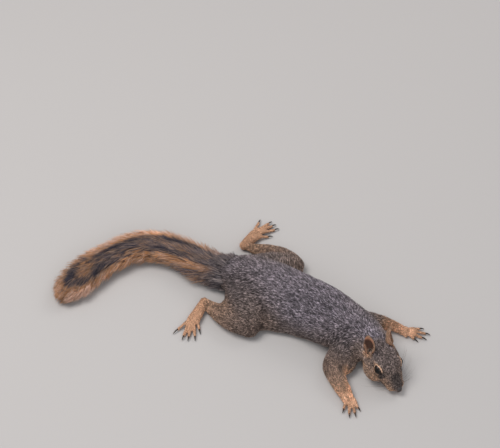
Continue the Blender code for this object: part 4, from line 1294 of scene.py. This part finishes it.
def tail_locks(name, chosen, count, draw):
    """Locks that leave the core at their own side and end on the brush's outline further back."""
    found = rooted(hide_surface, chosen, count, draw)
    place = found["places"]
    centre, arc, _ = along_tail(place)
    # Before the tail's first place the distance runs on backwards.
    first = tail_line[1] - tail_line[0]
    first /= np.linalg.norm(first)
    arc = np.where(arc < 0.5, np.minimum((place - tail_line[0]) @ first, 0.0), arc)
    centre, sideways, half, high, deep = brush_at(arc)
    across = ((place - centre) * sideways).sum(axis=1) / half
    above = (place[:, 2] - centre[:, 2]) / np.where(place[:, 2] > centre[:, 2], high, deep)
    turn, start = np.arctan2(above, across), np.hypot(across, above)
    # Hairs draw together in clumps: each takes part of its clump's own lot.
    clump = np.floor(arc / CLUMP + 2.0 * waves(place, 7.0)) * 31 + np.floor((turn + 3.2) / CLUMP_TURN)
    shared = np.random.default_rng(5).normal(size=(CLUMPS, 3))[clump.astype(int) % CLUMPS]
    own = draw.normal(size=(count, 3))
    outer = smooth_step(0.1, 0.7, -across / (start + 1e-6))
    length = draw.uniform(*TAIL_HAIR, count)
    length *= (0.55 + 0.45 * smooth_step(-5.0, 45.0, arc)) * (1.05 - 0.4 * outer)
    length += 1.4 * shared[:, 0]
    end = np.minimum(arc + length, BRUSH_END - np.abs(own[:, 0]) * 6.5 - 2.5 * shared[:, 1])
    reach = 0.89 + 0.07 * own[:, 1] + 0.085 * shared[:, 1] + 0.08 * outer * np.abs(own[:, 2])
    at_edge = smooth_step(0.75, 0.97, np.abs(np.cos(turn)))
    reach = np.minimum(reach + 0.11 * at_edge * (own[:, 0] > 0.5), LONGEST_REACH)
    # At the rump the brush is wider on its inner side.
    inner = smooth_step(0.2, 0.75, across / (start + 1e-6))
    reach += RUMP_WIDENS * inner * (1.0 - smooth_step(8.0, 48.0, arc))
    reach = start + np.maximum(reach - start, 0.10) * draw.choice(LAYERS, size=count, p=LAYER_SHARES)
    swing = 0.07 * own[:, 2] + 0.13 * shared[:, 2]
    rows, tones = [], []
    for share in (0.0, 0.34, 0.68, 1.0):
        s = arc + (end - arc) * share
        centre, sideways, half, high, deep = brush_at(s)
        out = start + (reach - start) * share**0.8
        way = turn + swing * share
        lift = np.sin(way)
        spot = centre + sideways * (half * out * np.cos(way))[:, None]
        spot[:, 2] += np.where(lift > 0, high, deep) * out * lift
        if share == 0.0:
            spot = place - found["outward"] * TAIL_SINK
        rows.append(spot)
        tones.append(tail_tone(s, out * np.cos(way), out * lift))
    run = rows[-1] - rows[0]
    flat = np.cross(found["outward"], run)
    flat /= np.linalg.norm(flat, axis=1, keepdims=True) + 1e-9
    tones = np.stack(tones, axis=1)
    # Each lock takes some of the colour that its outer third has.
    tones += (tones[:, 2:3] - tones) * OUTER_COLOUR
    # The grizzle of the rump runs out over the tail's base, sooner on its inner side.
    halfway = arc + 0.5 * length
    grizzle = 1.0 - smooth_step(0.0, 66.0, halfway)
    grizzle *= 1.0 - 0.75 * inner * smooth_step(6.0, 34.0, halfway)
    values = {"tone": tones + 0.10 * shared[:, :1], "light": 0.25 * shared[:, 2],
              "chance": draw.random(count), "grizzle": grizzle}
    width = TAIL_HAIR_WIDTH * draw.uniform(*TAIL_WIDTHS, count)
    return lock_mesh(name, rows, flat, width, hide_places_on_unwrap(found), values)


tail_finish, tree, shader = new_finish("banded tail hair", 0.6, 0.3)
lot = read_value(tree, "chance")
strewn = sum_node(tree, "MULTIPLY_ADD", lot, 0.52, -0.24)
tone = sum_node(tree, "ADD", read_value(tree, "tone"), strewn)
tail_stops = [(0.0, (0.050, 0.046, 0.068)), (0.26, (0.115, 0.094, 0.108)), (0.50, (0.39, 0.265, 0.20)),
              (0.80, (0.64, 0.30, 0.12)), (1.0, (0.76, 0.50, 0.385))]
grizzle_stops = [(0.0, (0.06, 0.052, 0.062)), (0.6, (0.17, 0.142, 0.152)), (1.0, (0.44, 0.36, 0.34))]
tail_colour, grizzled = ramp(tree, tone, tail_stops), ramp(tree, lot, grizzle_stops)
coloured = blended(tree, "MIX", read_value(tree, "grizzle"), tail_colour, grizzled)
band = ramp(tree, read_value(tree, "along"), [(0.0, grey(0.45)), (0.35, grey(0.85)), (1.0, grey(1.05))])
coloured = blended(tree, "MULTIPLY", 1.0, coloured, band)
lift = sum_node(tree, "POWER", 2.0, read_value(tree, "light"))
tree.links.new(brightened(tree, coloured, lift), shader.inputs["Base Color"])

tail_faces = kind_of_face == "tail"
_, arc_of_face, _ = along_tail(middle_of_face)
# name, from and to which distance along the tail, locks
TAIL_COATS = [
    ("coat_tail_base", -50.0, 78.0, 9500),
    ("coat_tail_middle", 78.0, 160.0, 8500),
    ("coat_tail_tip", 160.0, 999.0, 8500),
]
for number, (name, low, high, count) in enumerate(TAIL_COATS):
    chosen = tail_faces & (arc_of_face >= low) & (arc_of_face < high)
    coat_piece = tail_locks(name, chosen, count, np.random.default_rng(200 + number))
    coat_piece.data.materials.append(tail_finish)
    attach(coat_piece, "root")

# ---- Coat of the ears --------------------------------------------------------------------------------------
# Short buff hair on the back and the rim of each ear, lying up towards its tip. The inside of each cup stays
# bare, so that the painted shade of its hollow shows.

EAR_LOCKS, EAR_NAP = 2200, (0.55, 2.3, 0.30)  # depth of the nap, length and width of its locks
EAR_SPREAD, EAR_CONTRAST = 12.0, 0.35
EAR_TONE, EAR_BACK_TONE, EAR_LIGHT = 0.58, 0.10, 0.35
for side, (ear, ear_hair) in ears.items():
    draw = np.random.default_rng(300 if side == "left" else 301)
    ear_surface = surface(ear)
    places = ear_surface["places"]
    up_ear = to_head(places)[:, 2]
    top, bottom = (up_ear > np.quantile(up_ear, 0.9)), (up_ear < np.quantile(up_ear, 0.1))
    tip_way = places[top].mean(axis=0) - places[bottom].mean(axis=0)
    ear_surface["headings"][:] = tip_way / np.linalg.norm(tip_way)
    ear_surface["values"][:] = EAR_NAP
    ear_surface["tone"][:] = EAR_TONE + EAR_BACK_TONE * smooth_step(0.5, 1.0, ear_hair)
    ear_surface["light"][:] = EAR_LIGHT
    hairy = ear_hair[ear_surface["corners"]].mean(axis=1) > 0.5
    found = rooted(ear_surface, hairy, EAR_LOCKS, draw)
    uv = place_on_unwrap(found["places"])
    ear_coat = laid_locks("coat_ear_" + side, found, uv, draw, EAR_SPREAD, EAR_CONTRAST)
    ear_coat.data.materials.append(hair_finish)
    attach(ear_coat, "root")
